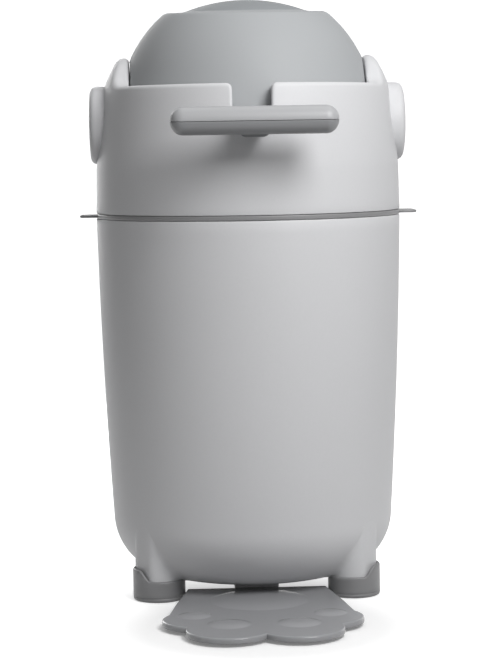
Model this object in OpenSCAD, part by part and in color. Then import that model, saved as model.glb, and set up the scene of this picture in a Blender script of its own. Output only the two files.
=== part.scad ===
// Nappy bin with a ball-shaped drum that is flipped over by a T-handle.
// The tub's axis is vertical and the front, with the handle and the foot plate, faces -Y.
// The origin is on the floor, under the middle of the whole outline.

/* [Tub] */
// Height of the tub's rim above the floor
tub_height = 370; // [320:1:420]
// Outer radius of the tub at its rim, and of the head above it
tub_top_radius = 151; // [148:0.5:156]
// How much smaller the tub's radius is just above its rounded bottom
tub_taper = 11.2; // [6:0.2:14]
// How far the tub's side bows out between those two radii
tub_bow = 1.6; // [0:0.1:4]
// Wall of the tub
tub_wall = 3; // [2:0.1:4]
// Height of the tub's underside above the floor
tub_underside = 13.7; // [12:0.1:18]
// Radius of the rounded edge round the tub's bottom
tub_bottom_round = 60; // [50:1:66]

/* [Legs and boots] */
// How far a leg's centre lies in from the tub's lower radius, left to right
leg_inset_x = 44.3; // [42:0.1:48]
// How far a leg's centre lies in from the tub's lower radius, front to back
leg_inset_y = 66.8; // [64:0.1:70]
// Outer radius of a leg
leg_radius = 22.2; // [20:0.1:23]
// Wall of a leg
leg_wall = 3; // [2:0.1:4]
// Wall of a boot
boot_wall = 3.2; // [2:0.1:4]
// Thickness of a boot's sole
boot_sole = 3; // [2:0.1:5]
// Height of a boot at its outer side
boot_side_height = 33; // [28:0.5:38]
// Height of a boot at its front and its inner side
boot_front_height = 20; // [16:0.5:24]
// Rounding of a boot's lower edge
boot_edge = 2.5; // [1:0.1:3]

/* [Foot plate] */
// Thickness of the foot plate
plate_thickness = 5.5; // [4:0.1:6]
// Distance of the plate's back edge behind the line of the front legs
plate_behind = 1; // [0:0.5:4]
// Gap between the plate's back corners and the front boots
plate_boot_gap = 2; // [1.5:0.1:6]
// How far the large pad's widest points lie in from the legs' centres
plate_mid_inset = 15.5; // [12:0.5:20]
// Distance of the widest part of the large pad in front of that line
plate_mid_ahead = 67; // [61:1:73]
// Radius of an inner toe's outline
inner_toe_radius = 40; // [36:0.5:42]
// Distance of an inner toe from the middle plane
inner_toe_x = 32; // [29:0.5:34]
// Distance of an inner toe in front of the line of the front legs
inner_toe_ahead = 177; // [171:1:183]
// Radius of an outer toe's outline
outer_toe_radius = 36; // [33:0.5:38]
// Distance of an outer toe from the middle plane
outer_toe_x = 57; // [54:0.5:60]
// Distance of an outer toe in front of the line of the front legs
outer_toe_ahead = 135; // [130:1:140]
// Radius of the large raised mound
mound_radius = 47; // [42:0.5:50]
// Distance of the large mound in front of the line of the front legs
mound_ahead = 58; // [55:1:63]
// Radius of the mound on an inner toe
inner_mound_radius = 20; // [16:0.5:22]
// Radius of the mound on an outer toe
outer_mound_radius = 15.5; // [12:0.5:17]
// Height of the mounds over the plate's top
mound_rise = 2; // [0.5:0.1:2.5]
// Width of the tongue that joins the plate to the tub
tongue_width = 43; // [38:0.5:50]
// Distance of the tongue's rear end in front of the tub's axis
tongue_end = 8; // [4:0.5:14]
// Radius of a rubber pad under the plate
pad_radius = 9; // [6:0.5:11]
// Height of a rubber pad under the plate
pad_height = 3; // [2:0.1:4]

/* [Bag ring] */
// Thickness of the ring between the tub and the head
ring_thickness = 4.6; // [4:0.1:6]
// Radius of the ring's opening
ring_opening = 120; // [112:0.5:126]
// Depth of the ring's skirt, which the bag is folded over
skirt_depth = 12; // [8:0.5:18]
// Wall of the skirt
skirt_wall = 2.5; // [2:0.1:3.5]
// Gap between the skirt and the tub's inside
skirt_gap = 1.5; // [1.2:0.1:3]
// How far a tab stands out beyond the ring
tab_reach = 16; // [12:0.5:20]
// Width of a tab
tab_width = 44; // [30:1:60]
// Thickness of a tab
tab_thickness = 2.8; // [2:0.1:3.8]

/* [Head] */
// Height of the head's rim above the drum's axis
rim_rise = 25.5; // [22:0.5:28]
// How much smaller the head's radius is at its rim than at its lower edge
head_taper = 10; // [7:0.5:12]
// Height of the soft shoulder where the head starts to taper
shoulder_rise = 45; // [38:1:50]
// How much smaller the head's radius is at the shoulder than at its lower edge
shoulder_taper = 0.9; // [0.4:0.1:2]
// Wall of the head
head_wall = 3; // [2.4:0.1:3.4]
// Rounding of the rim's outer edge
rim_edge = 4; // [2:0.1:4.5]
// Radius of an ear's arch round the drum's axis
ear_radius = 55; // [53:0.5:58]
// How far the top of an ear leans in from the head's rim
ear_lean = 15; // [11:0.5:17]
// Soft corner between an ear's inner face and the rim
ear_foot_round = 10; // [4:0.5:11]
// Soft corner between an ear's arch and the rim
arch_foot_round = 30; // [12:1:32]
// Rounding of an ear's top, seen from the front
ear_tip = 5; // [2:0.5:5]
// Height of the opening's inner wall below the rim
liner_depth = 58; // [50:1:64]
// Width of the head's rim
rim_width = 13; // [12:0.1:14]
// Gap between the head's inner wall and the drum
liner_gap = 1.5; // [1:0.1:2]
// Width of the notch for the handle's neck
notch_width = 36.6; // [34:0.2:40]
// Corner radius at the top of the notch
notch_corner = 4; // [2:0.2:5]

/* [Drum] */
// How far the drum's lower end hangs below the head's lower edge
drum_sink = 0.7; // [0:0.1:1.5]
// How much each flat chute end cuts off the ball
end_cut = 28; // [26:0.5:30]
// How much each flat side cuts off the ball
side_cut = 12; // [11:0.1:14]
// Rounding of the edge round a chute end
drum_edge = 11; // [4:0.5:12]
// Wall of the drum
drum_wall = 3; // [2.4:0.1:3.4]
// How far the handle's arm dips below level at rest
rest_tilt = 3; // [2:0.1:4]

/* [Chute and piston] */
// Width of the border between the chute and the edge of a flat end
end_border = 17.4; // [16:0.1:19]
// Wall of the chute
chute_wall = 2.2; // [1.8:0.1:2.6]
// How far a chute rim reaches in over the chute, to hold the piston
rim_lip = 3.3; // [2:0.1:5]
// Thickness of a chute rim
rim_thickness = 3; // [2.4:0.1:3.6]
// Width of the soft swell round a chute rim's opening
swell_width = 8; // [6:0.5:10]
// Height of that swell above the flat end
swell_rise = 1.5; // [0.5:0.1:1.8]
// Length of the piston's cylindrical body
piston_length = 24; // [22:0.5:30]
// Radius of the sphere of a piston's domed face
dome_sphere = 168; // [150:1:190]
// Wall of a piston cap
cap_wall = 3; // [2:0.1:3.5]
// Radius of the piston's weight
weight_radius = 40; // [30:0.5:42]
// Height of the piston's weight
weight_height = 12; // [8:0.5:14]
// Width of a piston seal
piston_seal_width = 3; // [2:0.1:4]
// Depth of a piston seal's groove
piston_seal_depth = 2; // [1.5:0.1:2.3]

/* [Handle] */
// Distance of the grip bar in front of the head's lower edge
grip_ahead = 41; // [35:1:49]
// Length of the grip bar
bar_length = 154; // [130:1:170]
// Thickness of the grip bar
bar_thickness = 26; // [24:0.2:28]
// Width of the neck between the drum and the bar
neck_width = 26; // [22:0.2:28]
// Height of the neck
neck_height = 25; // [20:0.2:26]
// Corner radius of the neck
neck_corner = 6; // [3:0.5:9]
// Wall of the handle's two shells
handle_wall = 2.6; // [2:0.1:3.2]
// Width of the fine groove where the two shells meet
handle_seam = 0.4; // [0.2:0.1:0.8]

/* [Pivot] */
// Radius of an axle
axle_radius = 10; // [8:0.1:11]
// Length of an axle inside the drum's bush
axle_reach = 14; // [10:0.5:16]
// Radius of an axle's flange
axle_flange_radius = 20; // [18:0.5:22]
// Thickness of an axle's flange
axle_flange = 3; // [2:0.1:4]
// Wall of a bush
bush_wall = 4; // [3:0.1:5]
// Thickness of a bush's flange between the drum and the head
bush_flange = 0.7; // [0.4:0.1:0.7]
// Radius of a round pivot cover
cover_radius = 38.5; // [36:0.5:40]
// How far a cover's rim stands out beyond the head's rim
cover_proud = 14.4; // [13:0.1:17]
// How far a cover's centre lies below the drum's axis
cover_drop = 11; // [8:0.5:12]
// Distance from the drum's flat side to the recess behind a cover
side_room = 13.5; // [11.5:0.5:14.5]
// Wall of a cover
cover_wall = 2.6; // [2:0.1:3.2]
// Rounding of a cover's outer edge
cover_edge = 5; // [3:0.5:7]
// How far a cover's face bulges
cover_bulge = 1.8; // [0.5:0.1:3]

/* [Drum seal] */
// Height of the seal above the head's lower edge
seal_rise = 19.8; // [16:0.2:24]
// Height of the seal's lip
seal_height = 6; // [4:0.1:8]
// Width of the seal at its lip
seal_width = 3; // [2:0.5:6]
// Thickness of the plate that carries the seal
carrier_thickness = 3; // [2.4:0.1:4]

/* [Hinge] */
// Distance of the hinge's axis behind the tub
hinge_offset = 8.5; // [8:0.1:10]
// Outer radius of the hinge's knuckles
knuckle_radius = 6.5; // [5:0.1:7]
// Radius of the hinge pin
pin_radius = 2.5; // [2:0.1:3]
// Width of the ring's middle knuckle
middle_knuckle = 24; // [16:1:30]
// Width of each of the other knuckles
side_knuckle = 12; // [8:0.5:16]

/* [Fasteners] */
// Radius of a screw's shank
screw_radius = 2; // [1.5:0.1:2.2]
// Radius of a screw's head
screw_head_radius = 3.8; // [3:0.1:4]
// Height of a screw's head
screw_head_height = 2.4; // [1.8:0.1:2.6]
// Radius of a screw boss
boss_radius = 6; // [5:0.1:6.5]

/* [Clearances] */
// Gap between pieces that move against each other
gap = 0.3; // [0.2:0.05:0.5]
// Radial running clearance of the axles and the hinge pin
running = 0.05; // [0.02:0.01:0.09]
// Clearance between pieces that are fitted together for good
fit = 0.1; // [0.05:0.01:0.2]

/* [Hidden] */

$fn = 96;
far = 400;
arc_steps = 12;
LEFT = -1;
RIGHT = 1;
FRONT = -1;
REAR = 1;

shell_grey = [0.80, 0.80, 0.81];
drum_grey = [0.66, 0.67, 0.68];
plate_grey = [0.50, 0.50, 0.51];
boot_grey = [0.36, 0.36, 0.36];
ring_grey = [0.40, 0.40, 0.40];
rubber_grey = [0.20, 0.20, 0.21];
nylon_white = [0.90, 0.90, 0.88];
steel_grey = [0.72, 0.72, 0.74];

// Radii and widths that follow the tub
tub_low_radius = tub_top_radius - tub_taper;
shoulder_radius = tub_top_radius - shoulder_taper;
head_rim_radius = tub_top_radius - head_taper;
ear_top_radius = head_rim_radius - ear_lean;
liner_radius = head_rim_radius - rim_width;
drum_radius = liner_radius - liner_gap;
drum_flat = drum_radius - end_cut;
drum_side = drum_radius - side_cut;
ear_face = drum_side + 1;
recess_face = drum_side + side_room;
cover_face = head_rim_radius + cover_proud;

// Heights of the pieces that stand on each other
ring_z = tub_height + gap;
ring_top = ring_z + ring_thickness;
seam_z = ring_z + ring_thickness / 2;
head_z = ring_top + gap;
drum_z = head_z + drum_flat - drum_sink;
rim_z = drum_z + rim_rise;
ear_top_z = drum_z + ear_radius;

// The legs, and the foot plate's distances in front of the tub's axis
leg_x = tub_low_radius - leg_inset_x;
leg_y = tub_low_radius - leg_inset_y;
plate_back = leg_y - plate_behind;
plate_back_width = 2 * (leg_x - leg_radius - fit - boot_wall - plate_boot_gap);
plate_mid = leg_y + plate_mid_ahead;
plate_mid_width = 2 * (leg_x - plate_mid_inset);
mound_y = leg_y + mound_ahead;
outer_toe_y = leg_y + outer_toe_ahead;
inner_toe_y = leg_y + inner_toe_ahead;
inner_mound_y = inner_toe_y - 18;
outer_mound_x = outer_toe_x + 6;
outer_mound_y = outer_toe_y - 14;
mound_root = 0.5;

// The hinge behind the seam
hinge_y = tub_top_radius + hinge_offset;
hinge_z = seam_z;
hinge_web = 24;
hinge_half = middle_knuckle / 2 + 2 * side_knuckle + 2 * gap;

// The whole outline's middle, from its front and rear reach
front_reach = inner_toe_y + inner_toe_radius;
rear_reach = hinge_y + knuckle_radius;
axis_y = (front_reach - rear_reach) / 2;

// The legs and the boots on them
boot_radius = leg_radius + fit + boot_wall;
boot_slope_start = 8.5;
boot_slope_end = 21;

// The foot plate on its rubber pads
plate_z = pad_height;
plate_top = plate_z + plate_thickness;
plate_screw_x = tongue_width / 2 - 8.5;
plate_screw_ys = [tongue_end + 12, plate_back - 10];
plate_boss_height = 12;

// The head's inside
carrier_z = head_z + seal_rise;
carrier_top = carrier_z + carrier_thickness;
carrier_boss_circle = tub_top_radius - head_wall - 4.5;
carrier_boss_height = 27;
carrier_screw_length = 14;
carrier_screw_count = 6;
seal_ball = drum_radius + gap + 0.1;
seal_low = carrier_z - drum_z;
seal_high = seal_low + seal_height;
seal_radius = sqrt(seal_ball * seal_ball - seal_high * seal_high) + seal_width;
cover_z = drum_z - cover_drop;
recess_radius = cover_radius + 0.5;
post_radius = 3;
post_circle = cover_radius - 9;
post_angles = [-80, 0, 80];

// The handle rests on the notch's floor
notch_reach = shoulder_radius;
notch_floor = drum_z - notch_reach * sin(rest_tilt) - neck_height / 2 / cos(rest_tilt) - gap;

// The pivots
axle_inner = drum_side - axle_reach;
bush_radius = axle_radius + running + bush_wall;
axle_screw_circle = (axle_radius + axle_flange_radius) / 2;
axle_screw_radius = 1.5;
axle_screw_head = 2.6;
axle_screw_length = 8;
pivot_boss_radius = axle_flange_radius + 1.5;
bush_boss_wall = 4;

// The chute and the piston inside it
chute_radius = sqrt(drum_radius * drum_radius - drum_flat * drum_flat) - end_border;
rim_opening = chute_radius - rim_lip;
tube_radius = chute_radius + chute_wall;
tube_half = drum_flat - rim_thickness;
rim_skirt_wall = 2.6;
rim_skirt = 9.5;
rim_skirt_radius = tube_radius + fit + rim_skirt_wall;
rim_flange_radius = rim_skirt_radius + 5;
piston_radius = chute_radius - gap;
piston_top = tube_half - gap;
piston_mid = piston_top - piston_length / 2;
neck_radius = rim_opening - 0.5;
dome_center = drum_flat + swell_rise - sqrt(dome_sphere * dome_sphere - neck_radius * neck_radius);
weight_seat_wall = 2.8;
weight_seat_ledge = 6;

// The handle
handle_reach = tub_top_radius + grip_ahead;
anchor_width = neck_width + 12;
anchor_height = neck_height + 8;
anchor_thickness = 3;
anchor_y = drum_radius - drum_wall - 7.5;
handle_screw_x = bar_length / 2 - bar_thickness / 2 - 16;
handle_boss_radius = 4.6;
handle_screw_head_z = bar_thickness / 2 - 4;

// ---- helpers -----------------------------------------------------------------------------------

// Points on an arc round c, from angle a0 to a1
function arc(c, r, a0, a1, n = arc_steps) =
    [for (i = [0:n]) let (a = a0 + (a1 - a0) * i / n) [c[0] + r * cos(a), c[1] + r * sin(a)]];

// Points from p to q on a shallow curve that bows out by s to the right of the way
function bowed(p, q, s, n = arc_steps) =
    let (d = q - p, u = [d[1], -d[0]] / norm(d))
    [for (i = [0:n]) let (t = i / n) p + d * t + u * 4 * s * t * (1 - t)];

// Points on a soft corner from p to q, with c as the sharp corner
function soft_corner(p, c, q, n = arc_steps) =
    [for (i = [0:n]) let (t = i / n) p * (1 - t) * (1 - t) + c * 2 * t * (1 - t) + q * t * t];

// A half-cosine step from 0 to 1
function s_curve(t) = (1 - cos(180 * t)) / 2;

module on_axis() {
    translate([0, axis_y, 0]) children();
}

// The drum's own frame: its centre, tipped forward to the rest position
module in_drum() {
    translate([0, axis_y, drum_z]) rotate([rest_tilt, 0, 0]) children();
}

// Turns a piece that is built along +Z to point along +X or -X
module along_x(side) {
    rotate([0, side * 90, 0]) children();
}

// A sheet drawn in Y and Z, made thick from x0 to x1
module side_view(x0, x1) {
    translate([x0, 0, 0]) rotate([90, 0, 90]) linear_extrude(x1 - x0) children();
}

// A sheet drawn in X and Z, made thick over the whole depth
module front_view() {
    rotate([90, 0, 0]) linear_extrude(2 * far, center = true) children();
}

module rounded_rect(w, h, r) {
    square([w - 2 * r, h], center = true);
    square([w, h - 2 * r], center = true);
    for (x = [-1, 1], y = [-1, 1])
        translate([x * (w / 2 - r), y * (h / 2 - r)]) circle(r, $fn = 48);
}

module tube(outer, inner, height) {
    difference() {
        cylinder(r = outer, h = height);
        translate([0, 0, -1]) cylinder(r = inner, h = height + 2);
    }
}

module half_space(side) {
    translate([0, 0, side * far / 2]) cube(far, center = true);
}

// A pan-head screw: shank up along +Z from the underside of its head
module screw(length, r = screw_radius, head_r = screw_head_radius, head_h = screw_head_height) {
    translate([0, 0, -head_h]) cylinder(r = head_r, h = head_h, $fn = 32);
    translate([0, 0, -head_h / 2]) cylinder(r = r, h = length + head_h / 2, $fn = 32);
}

// ---- tub ---------------------------------------------------------------------------------------

// Half outline of the tub, moved inwards by inset
function tub_outline(inset, top) =
    let (round_r = tub_bottom_round - inset,
         cx = tub_low_radius - tub_bottom_round,
         cz = tub_underside + tub_bottom_round)
    concat([[0, cz - round_r]], arc([cx, cz], round_r, -90, 0),
           bowed([tub_low_radius - inset, cz + 0.5], [tub_top_radius - inset, tub_height], tub_bow),
           [[tub_top_radius - inset, top], [0, top]]);

module tub_form(inset, top) {
    rotate_extrude() polygon(tub_outline(inset, top));
}

module at_legs() {
    for (x = [-1, 1], y = [-1, 1])
        translate([x * leg_x, y * leg_y, 0]) children();
}

module legs() {
    intersection() {
        at_legs() translate([0, 0, boot_sole])
            cylinder(r = leg_radius, h = tub_underside + tub_bottom_round - boot_sole);
        cylinder(r = tub_low_radius, h = far);
    }
}

module leg_wells() {
    intersection() {
        at_legs() translate([0, 0, boot_sole + leg_wall])
            cylinder(r = leg_radius - leg_wall, h = tub_bottom_round);
        cylinder(r = tub_low_radius - leg_wall, h = far);
    }
}

// A knuckle with a web that runs up or down to the curved wall in front of it
module knuckle(x0, x1, up) {
    outer_x = max(abs(x0), abs(x1));
    wall_y = sqrt(pow(tub_top_radius - tub_wall / 2 - 0.5, 2) - outer_x * outer_x);
    side_view(x0, x1) {
        translate([hinge_y, hinge_z]) circle(knuckle_radius, $fn = 48);
        polygon([[wall_y, hinge_z + up * hinge_web],
                 [hinge_y + knuckle_radius * cos(30), hinge_z - up * knuckle_radius * sin(30)],
                 [hinge_y - knuckle_radius * cos(30), hinge_z + up * knuckle_radius * sin(30)],
                 [wall_y, hinge_z + up * (ring_thickness / 2 + 1)]]);
    }
}

module hinge_bore(r) {
    translate([-far / 2, hinge_y, hinge_z]) rotate([0, 90, 0]) cylinder(r = r, h = far, $fn = 48);
}

module tub_knuckles() {
    x0 = middle_knuckle / 2 + side_knuckle + 2 * gap;
    knuckle(x0, x0 + side_knuckle, -1);
    knuckle(-x0 - side_knuckle, -x0, -1);
}

module at_plate_screws() {
    for (x = [-1, 1], y = plate_screw_ys)
        translate([x * plate_screw_x, -y, 0]) children();
}

module bin_body() {
    color(shell_grey) on_axis() difference() {
        union() {
            difference() {
                union() {
                    tub_form(0, tub_height);
                    legs();
                    tub_knuckles();
                }
                tub_form(tub_wall, tub_height + 20);
                leg_wells();
            }
            at_plate_screws() translate([0, 0, tub_underside + tub_wall / 2])
                cylinder(r = boss_radius, h = plate_boss_height);
        }
        at_plate_screws() translate([0, 0, tub_underside - 1])
            cylinder(r = screw_radius + fit / 2, h = plate_boss_height - 1, $fn = 32);
        hinge_bore(pin_radius + running);
    }
}

// Outline of a boot's wall seen from the front: high outside, low in front
module boot_side(side) {
    mirror([side < 0 ? 1 : 0, 0, 0]) front_view()
        polygon(concat([[-far, -1], [-far, boot_front_height]],
            [for (i = [0:24]) let (t = i / 24)
                [boot_slope_start + (boot_slope_end - boot_slope_start) * t,
                 boot_front_height + (boot_side_height - boot_front_height) * s_curve(t)]],
            [[far, boot_side_height], [far, -1]]));
}

module boot(side, end) {
    color(boot_grey) on_axis() translate([side * leg_x, end * leg_y, 0]) difference() {
        intersection() {
            rotate_extrude() polygon(concat([[0, 0]],
                arc([boot_radius - boot_edge, boot_edge], boot_edge, -90, 0, 6),
                [[boot_radius, boot_side_height + 1], [0, boot_side_height + 1]]));
            boot_side(side);
        }
        translate([0, 0, boot_sole]) cylinder(r = leg_radius + fit, h = far);
        translate([-side * leg_x, -end * leg_y, 0]) tub_form(-gap, tub_height);
    }
}

// ---- foot plate --------------------------------------------------------------------------------

module plate_form() {
    side = [[plate_back_width / 2, -plate_back], [plate_mid_width / 2, -plate_mid],
            [outer_toe_x + outer_toe_radius * cos(30) - 1, -outer_toe_y + outer_toe_radius * sin(30) - 1],
            [outer_toe_x, -outer_toe_y - outer_toe_radius / 2],
            [inner_toe_x, -inner_toe_y - inner_toe_radius / 2]];
    last = len(side) - 1;
    translate([0, 0, plate_z]) {
        linear_extrude(plate_thickness)
            polygon(concat(side, [[0, -inner_toe_y - inner_toe_radius / 4]],
                           [for (i = [0:last]) [-side[last - i][0], side[last - i][1]]]));
        for (side = [-1, 1]) {
            translate([side * inner_toe_x, -inner_toe_y])
                cylinder(r = inner_toe_radius, h = plate_thickness);
            translate([side * outer_toe_x, -outer_toe_y])
                cylinder(r = outer_toe_radius, h = plate_thickness);
        }
        translate([-tongue_width / 2, -plate_back - 10])
            cube([tongue_width, plate_back + 10 - tongue_end, plate_thickness]);
    }
}

// A low round mound on the plate's top, the cap of a large ball
module mound(x, y, r) {
    ball = (r * r + mound_rise * mound_rise) / (2 * mound_rise);
    translate([x, -y, plate_top]) intersection() {
        translate([0, 0, mound_rise - ball]) sphere(ball, $fn = 200);
        translate([-r * 2, -r * 2, -mound_root]) cube([r * 4, r * 4, mound_root + mound_rise * 2]);
    }
}

module foot_plate() {
    color(plate_grey) on_axis() difference() {
        union() {
            plate_form();
            mound(0, mound_y, mound_radius);
            for (side = [-1, 1]) {
                mound(side * inner_toe_x, inner_mound_y, inner_mound_radius);
                mound(side * outer_mound_x, outer_mound_y, outer_mound_radius);
            }
        }
        at_plate_screws() {
            cylinder(r = screw_radius + fit, h = far, $fn = 32);
            cylinder(r = screw_head_radius + fit, h = plate_z + screw_head_height + fit, $fn = 32);
        }
    }
}

module foot_plate_bracket() {
    length = plate_back - tongue_end;
    color(plate_grey) on_axis() difference() {
        translate([-tongue_width / 2, -plate_back, plate_top])
            cube([tongue_width, length, tub_underside - plate_top]);
        at_plate_screws() cylinder(r = screw_radius + fit, h = far, $fn = 32);
    }
}

module foot_plate_pads() {
    spots = [[0, plate_back + 22], [-inner_toe_x, inner_toe_y + 8], [inner_toe_x, inner_toe_y + 8],
             [-outer_toe_x - 8, outer_toe_y - 8], [outer_toe_x + 8, outer_toe_y - 8]];
    color(rubber_grey) on_axis() for (spot = spots)
        translate([spot[0], -spot[1], 0]) cylinder(r = pad_radius, h = pad_height);
}

module foot_plate_screws() {
    head_top = plate_z + screw_head_height + fit;
    length = tub_underside + plate_boss_height - 4 - head_top;
    color(steel_grey) on_axis() at_plate_screws() translate([0, 0, head_top]) screw(length);
}

module hinge_pin() {
    color(steel_grey) on_axis() translate([-hinge_half, hinge_y, hinge_z])
        rotate([0, 90, 0]) cylinder(r = pin_radius, h = 2 * hinge_half, $fn = 48);
}

// ---- bag ring ----------------------------------------------------------------------------------

module ring_tab(side) {
    inner = tub_top_radius - 6;
    reach = tab_reach + 6;
    translate([side * (inner + reach / 2), 0, seam_z - tab_thickness / 2])
        linear_extrude(tab_thickness) rounded_rect(reach, tab_width, 6);
}

module bag_ring() {
    skirt_radius = tub_top_radius - tub_wall - skirt_gap;
    color(ring_grey) on_axis() difference() {
        union() {
            translate([0, 0, ring_z]) tube(tub_top_radius, ring_opening, ring_thickness);
            translate([0, 0, ring_z - skirt_depth])
                tube(skirt_radius, skirt_radius - skirt_wall, skirt_depth + ring_thickness / 2);
            ring_tab(LEFT);
            ring_tab(RIGHT);
            side_view(-middle_knuckle / 2, middle_knuckle / 2) {
                translate([hinge_y, hinge_z]) circle(knuckle_radius, $fn = 48);
                translate([tub_top_radius - 3, ring_z]) square([hinge_offset + 3, ring_thickness]);
            }
        }
        hinge_bore(pin_radius + running);
    }
}

// ---- head --------------------------------------------------------------------------------------

// The head's side from its lower edge to the rim, moved inwards by inset
function head_side(inset) =
    let (low = [tub_top_radius - inset, head_z],
         mid = [shoulder_radius - inset, head_z + shoulder_rise],
         top = [head_rim_radius - inset, rim_z])
    concat([low], soft_corner(mid + (low - mid) * 0.4, mid, mid + (top - mid) * 0.25));

module head_body(inset) {
    edge = max(rim_edge - inset, 0.8);
    bottom = inset > 0 ? head_z - 5 : head_z;
    rotate_extrude() polygon(concat([[0, bottom], [tub_top_radius - inset, bottom]], head_side(inset),
        arc([head_rim_radius - inset - edge, rim_z - inset - edge], edge, 6, 90, 6), [[0, rim_z - inset]]));
}

// The turned form that the ears are cut from, with its top edge rounded
module ear_form(inset) {
    tip = ear_tip - inset / 2;
    top = ear_top_z - inset;
    rotate_extrude() polygon(concat([[0, drum_z]],
        bowed([head_rim_radius - inset + 0.9, rim_z - 12], [head_rim_radius - inset, rim_z], 0, 1),
        bowed([head_rim_radius - inset, rim_z], [ear_top_radius - inset, top - tip], 1.3, 6),
        arc([ear_top_radius - inset - tip, top - tip], tip, 10, 90, 6), [[0, top]]));
}

// An ear's arch seen from the side, with soft feet on the rim
module arch_outline(inset) {
    foot_z = rim_z + arch_foot_round;
    foot_y = sqrt(pow(ear_radius + arch_foot_round, 2) - pow(foot_z - drum_z, 2));
    difference() {
        union() {
            translate([0, drum_z]) circle(ear_radius - inset);
            for (side = [-1, 1])
                polygon([[0, drum_z], [side * foot_y, drum_z], [side * foot_y, foot_z]]);
        }
        for (side = [-1, 1])
            translate([side * foot_y, foot_z]) circle(arch_foot_round + inset);
    }
}

// An ear's inner edge seen from the front, with a round tip and a soft foot on the rim
module ear_edge_outline(face, foot, tip, top) {
    low = drum_z - ear_radius;
    polygon(concat([[face, low]], arc([face + tip, top - tip], tip, 180, 90, 6),
                   [[face + ear_radius, top], [face + ear_radius, low]]));
    difference() {
        translate([face - foot, low]) square([foot + 1, rim_z + foot - low]);
        translate([face - foot, rim_z + foot]) circle(foot, $fn = 64);
    }
}

module ear(side, inset) {
    face = ear_face + inset;
    foot = max(ear_foot_round - inset, 1);
    near = ear_face / 2;
    intersection() {
        ear_form(inset);
        side_view(side > 0 ? near : -far, side > 0 ? far : -near) arch_outline(inset);
        mirror([side < 0 ? 1 : 0, 0, 0]) front_view()
            ear_edge_outline(face, foot, ear_tip - inset / 2, ear_top_z - inset);
    }
}

module head_form(inset) {
    head_body(inset);
    ear(LEFT, inset);
    ear(RIGHT, inset);
}

// The drum's room between the ears, wider by extra
module drum_room(extra, bottom) {
    intersection() {
        translate([0, 0, bottom]) cylinder(r = liner_radius + extra, h = 2 * far);
        cube([2 * (ear_face + extra), far * 2, far * 4], center = true);
    }
}

module notch_shape(extra) {
    translate([0, 0, notch_floor - extra])
        linear_extrude(far) square([notch_width + 2 * extra, 2 * far], center = true);
}

// Soft upper corners of the notches, cut from the rim
module notch_corners() {
    for (side = [-1, 1])
        mirror([side < 0 ? 1 : 0, 0, 0]) front_view() difference() {
            translate([notch_width / 2 - 1, rim_z - notch_corner]) square([notch_corner + 1, notch_corner + 1]);
            translate([notch_width / 2 + notch_corner, rim_z - notch_corner]) circle(notch_corner, $fn = 48);
        }
}

module notch_band() {
    difference() {
        cylinder(r = tub_top_radius + 10, h = far * 2);
        translate([0, 0, -1]) cylinder(r = liner_radius - 3, h = far * 2 + 2);
        cube([far, 2 * ear_face - 40, far * 4], center = true);
    }
}

module recess_cylinder(side, r, from) {
    translate([0, 0, cover_z]) along_x(side) translate([0, 0, from]) cylinder(r = r, h = far);
}

module pivot_cylinder(side, r, from, length) {
    translate([0, 0, drum_z]) along_x(side) translate([0, 0, from]) cylinder(r = r, h = length);
}

module at_carrier_screws() {
    for (i = [0:carrier_screw_count - 1])
        rotate([0, 0, 360 / carrier_screw_count * (i + 0.5)])
            translate([carrier_boss_circle, 0, 0]) children();
}

module at_axle_screws(side) {
    for (a = [90, 210, 330])
        translate([0, 0, drum_z]) along_x(side) rotate([0, 0, a])
            translate([axle_screw_circle, 0, recess_face]) children();
}

module at_cover_posts(side) {
    for (a = post_angles)
        translate([0, post_circle * sin(a), cover_z - post_circle * cos(a)]) along_x(side) children();
}

// What stays inside the head's hollow
module head_inside() {
    drum_room(head_wall, rim_z - liner_depth);
    intersection() {
        notch_shape(head_wall);
        notch_band();
        translate([0, 0, notch_floor - head_wall]) cylinder(r = far, h = far);
    }
    for (side = [LEFT, RIGHT]) {
        recess_cylinder(side, recess_radius + head_wall, recess_face - head_wall);
        pivot_cylinder(side, pivot_boss_radius, ear_face, recess_face - ear_face);
    }
    at_carrier_screws() translate([0, 0, carrier_top]) cylinder(r = boss_radius, h = carrier_boss_height);
}

module head_knuckles() {
    x0 = middle_knuckle / 2 + gap;
    knuckle(x0, x0 + side_knuckle, 1);
    knuckle(-x0 - side_knuckle, -x0, 1);
}

module head_shell() {
    color(shell_grey) on_axis() difference() {
        union() {
            difference() {
                head_form(0);
                difference() {
                    head_form(head_wall);
                    head_inside();
                }
                drum_room(0, -1);
                intersection() {
                    notch_shape(0);
                    notch_band();
                }
                intersection() {
                    notch_corners();
                    notch_band();
                }
            }
            head_knuckles();
        }
        for (side = [LEFT, RIGHT]) {
            recess_cylinder(side, recess_radius, recess_face);
            pivot_cylinder(side, axle_radius + fit / 2, ear_face - 1, recess_face - ear_face + 2);
            at_axle_screws(side) translate([0, 0, -axle_screw_length - 1])
                cylinder(r = axle_screw_radius + fit / 2, h = far, $fn = 32);
            at_cover_posts(side) translate([0, 0, recess_face - head_wall - 1])
                cylinder(r = post_radius + fit / 2, h = far, $fn = 32);
        }
        at_carrier_screws() translate([0, 0, carrier_top - 1])
            cylinder(r = screw_radius + fit / 2, h = carrier_screw_length + 2, $fn = 32);
        hinge_bore(pin_radius + running);
    }
}

module seal_carrier() {
    outer = shoulder_radius - head_wall - gap;
    color(nylon_white) on_axis() difference() {
        union() {
            translate([0, 0, carrier_z]) tube(outer, seal_radius, carrier_thickness);
            translate([0, 0, carrier_z]) tube(seal_radius + 2.5, seal_radius, seal_height);
        }
        at_carrier_screws() translate([0, 0, carrier_z - 1])
            cylinder(r = screw_radius + fit, h = carrier_thickness + 2, $fn = 32);
    }
}

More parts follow.
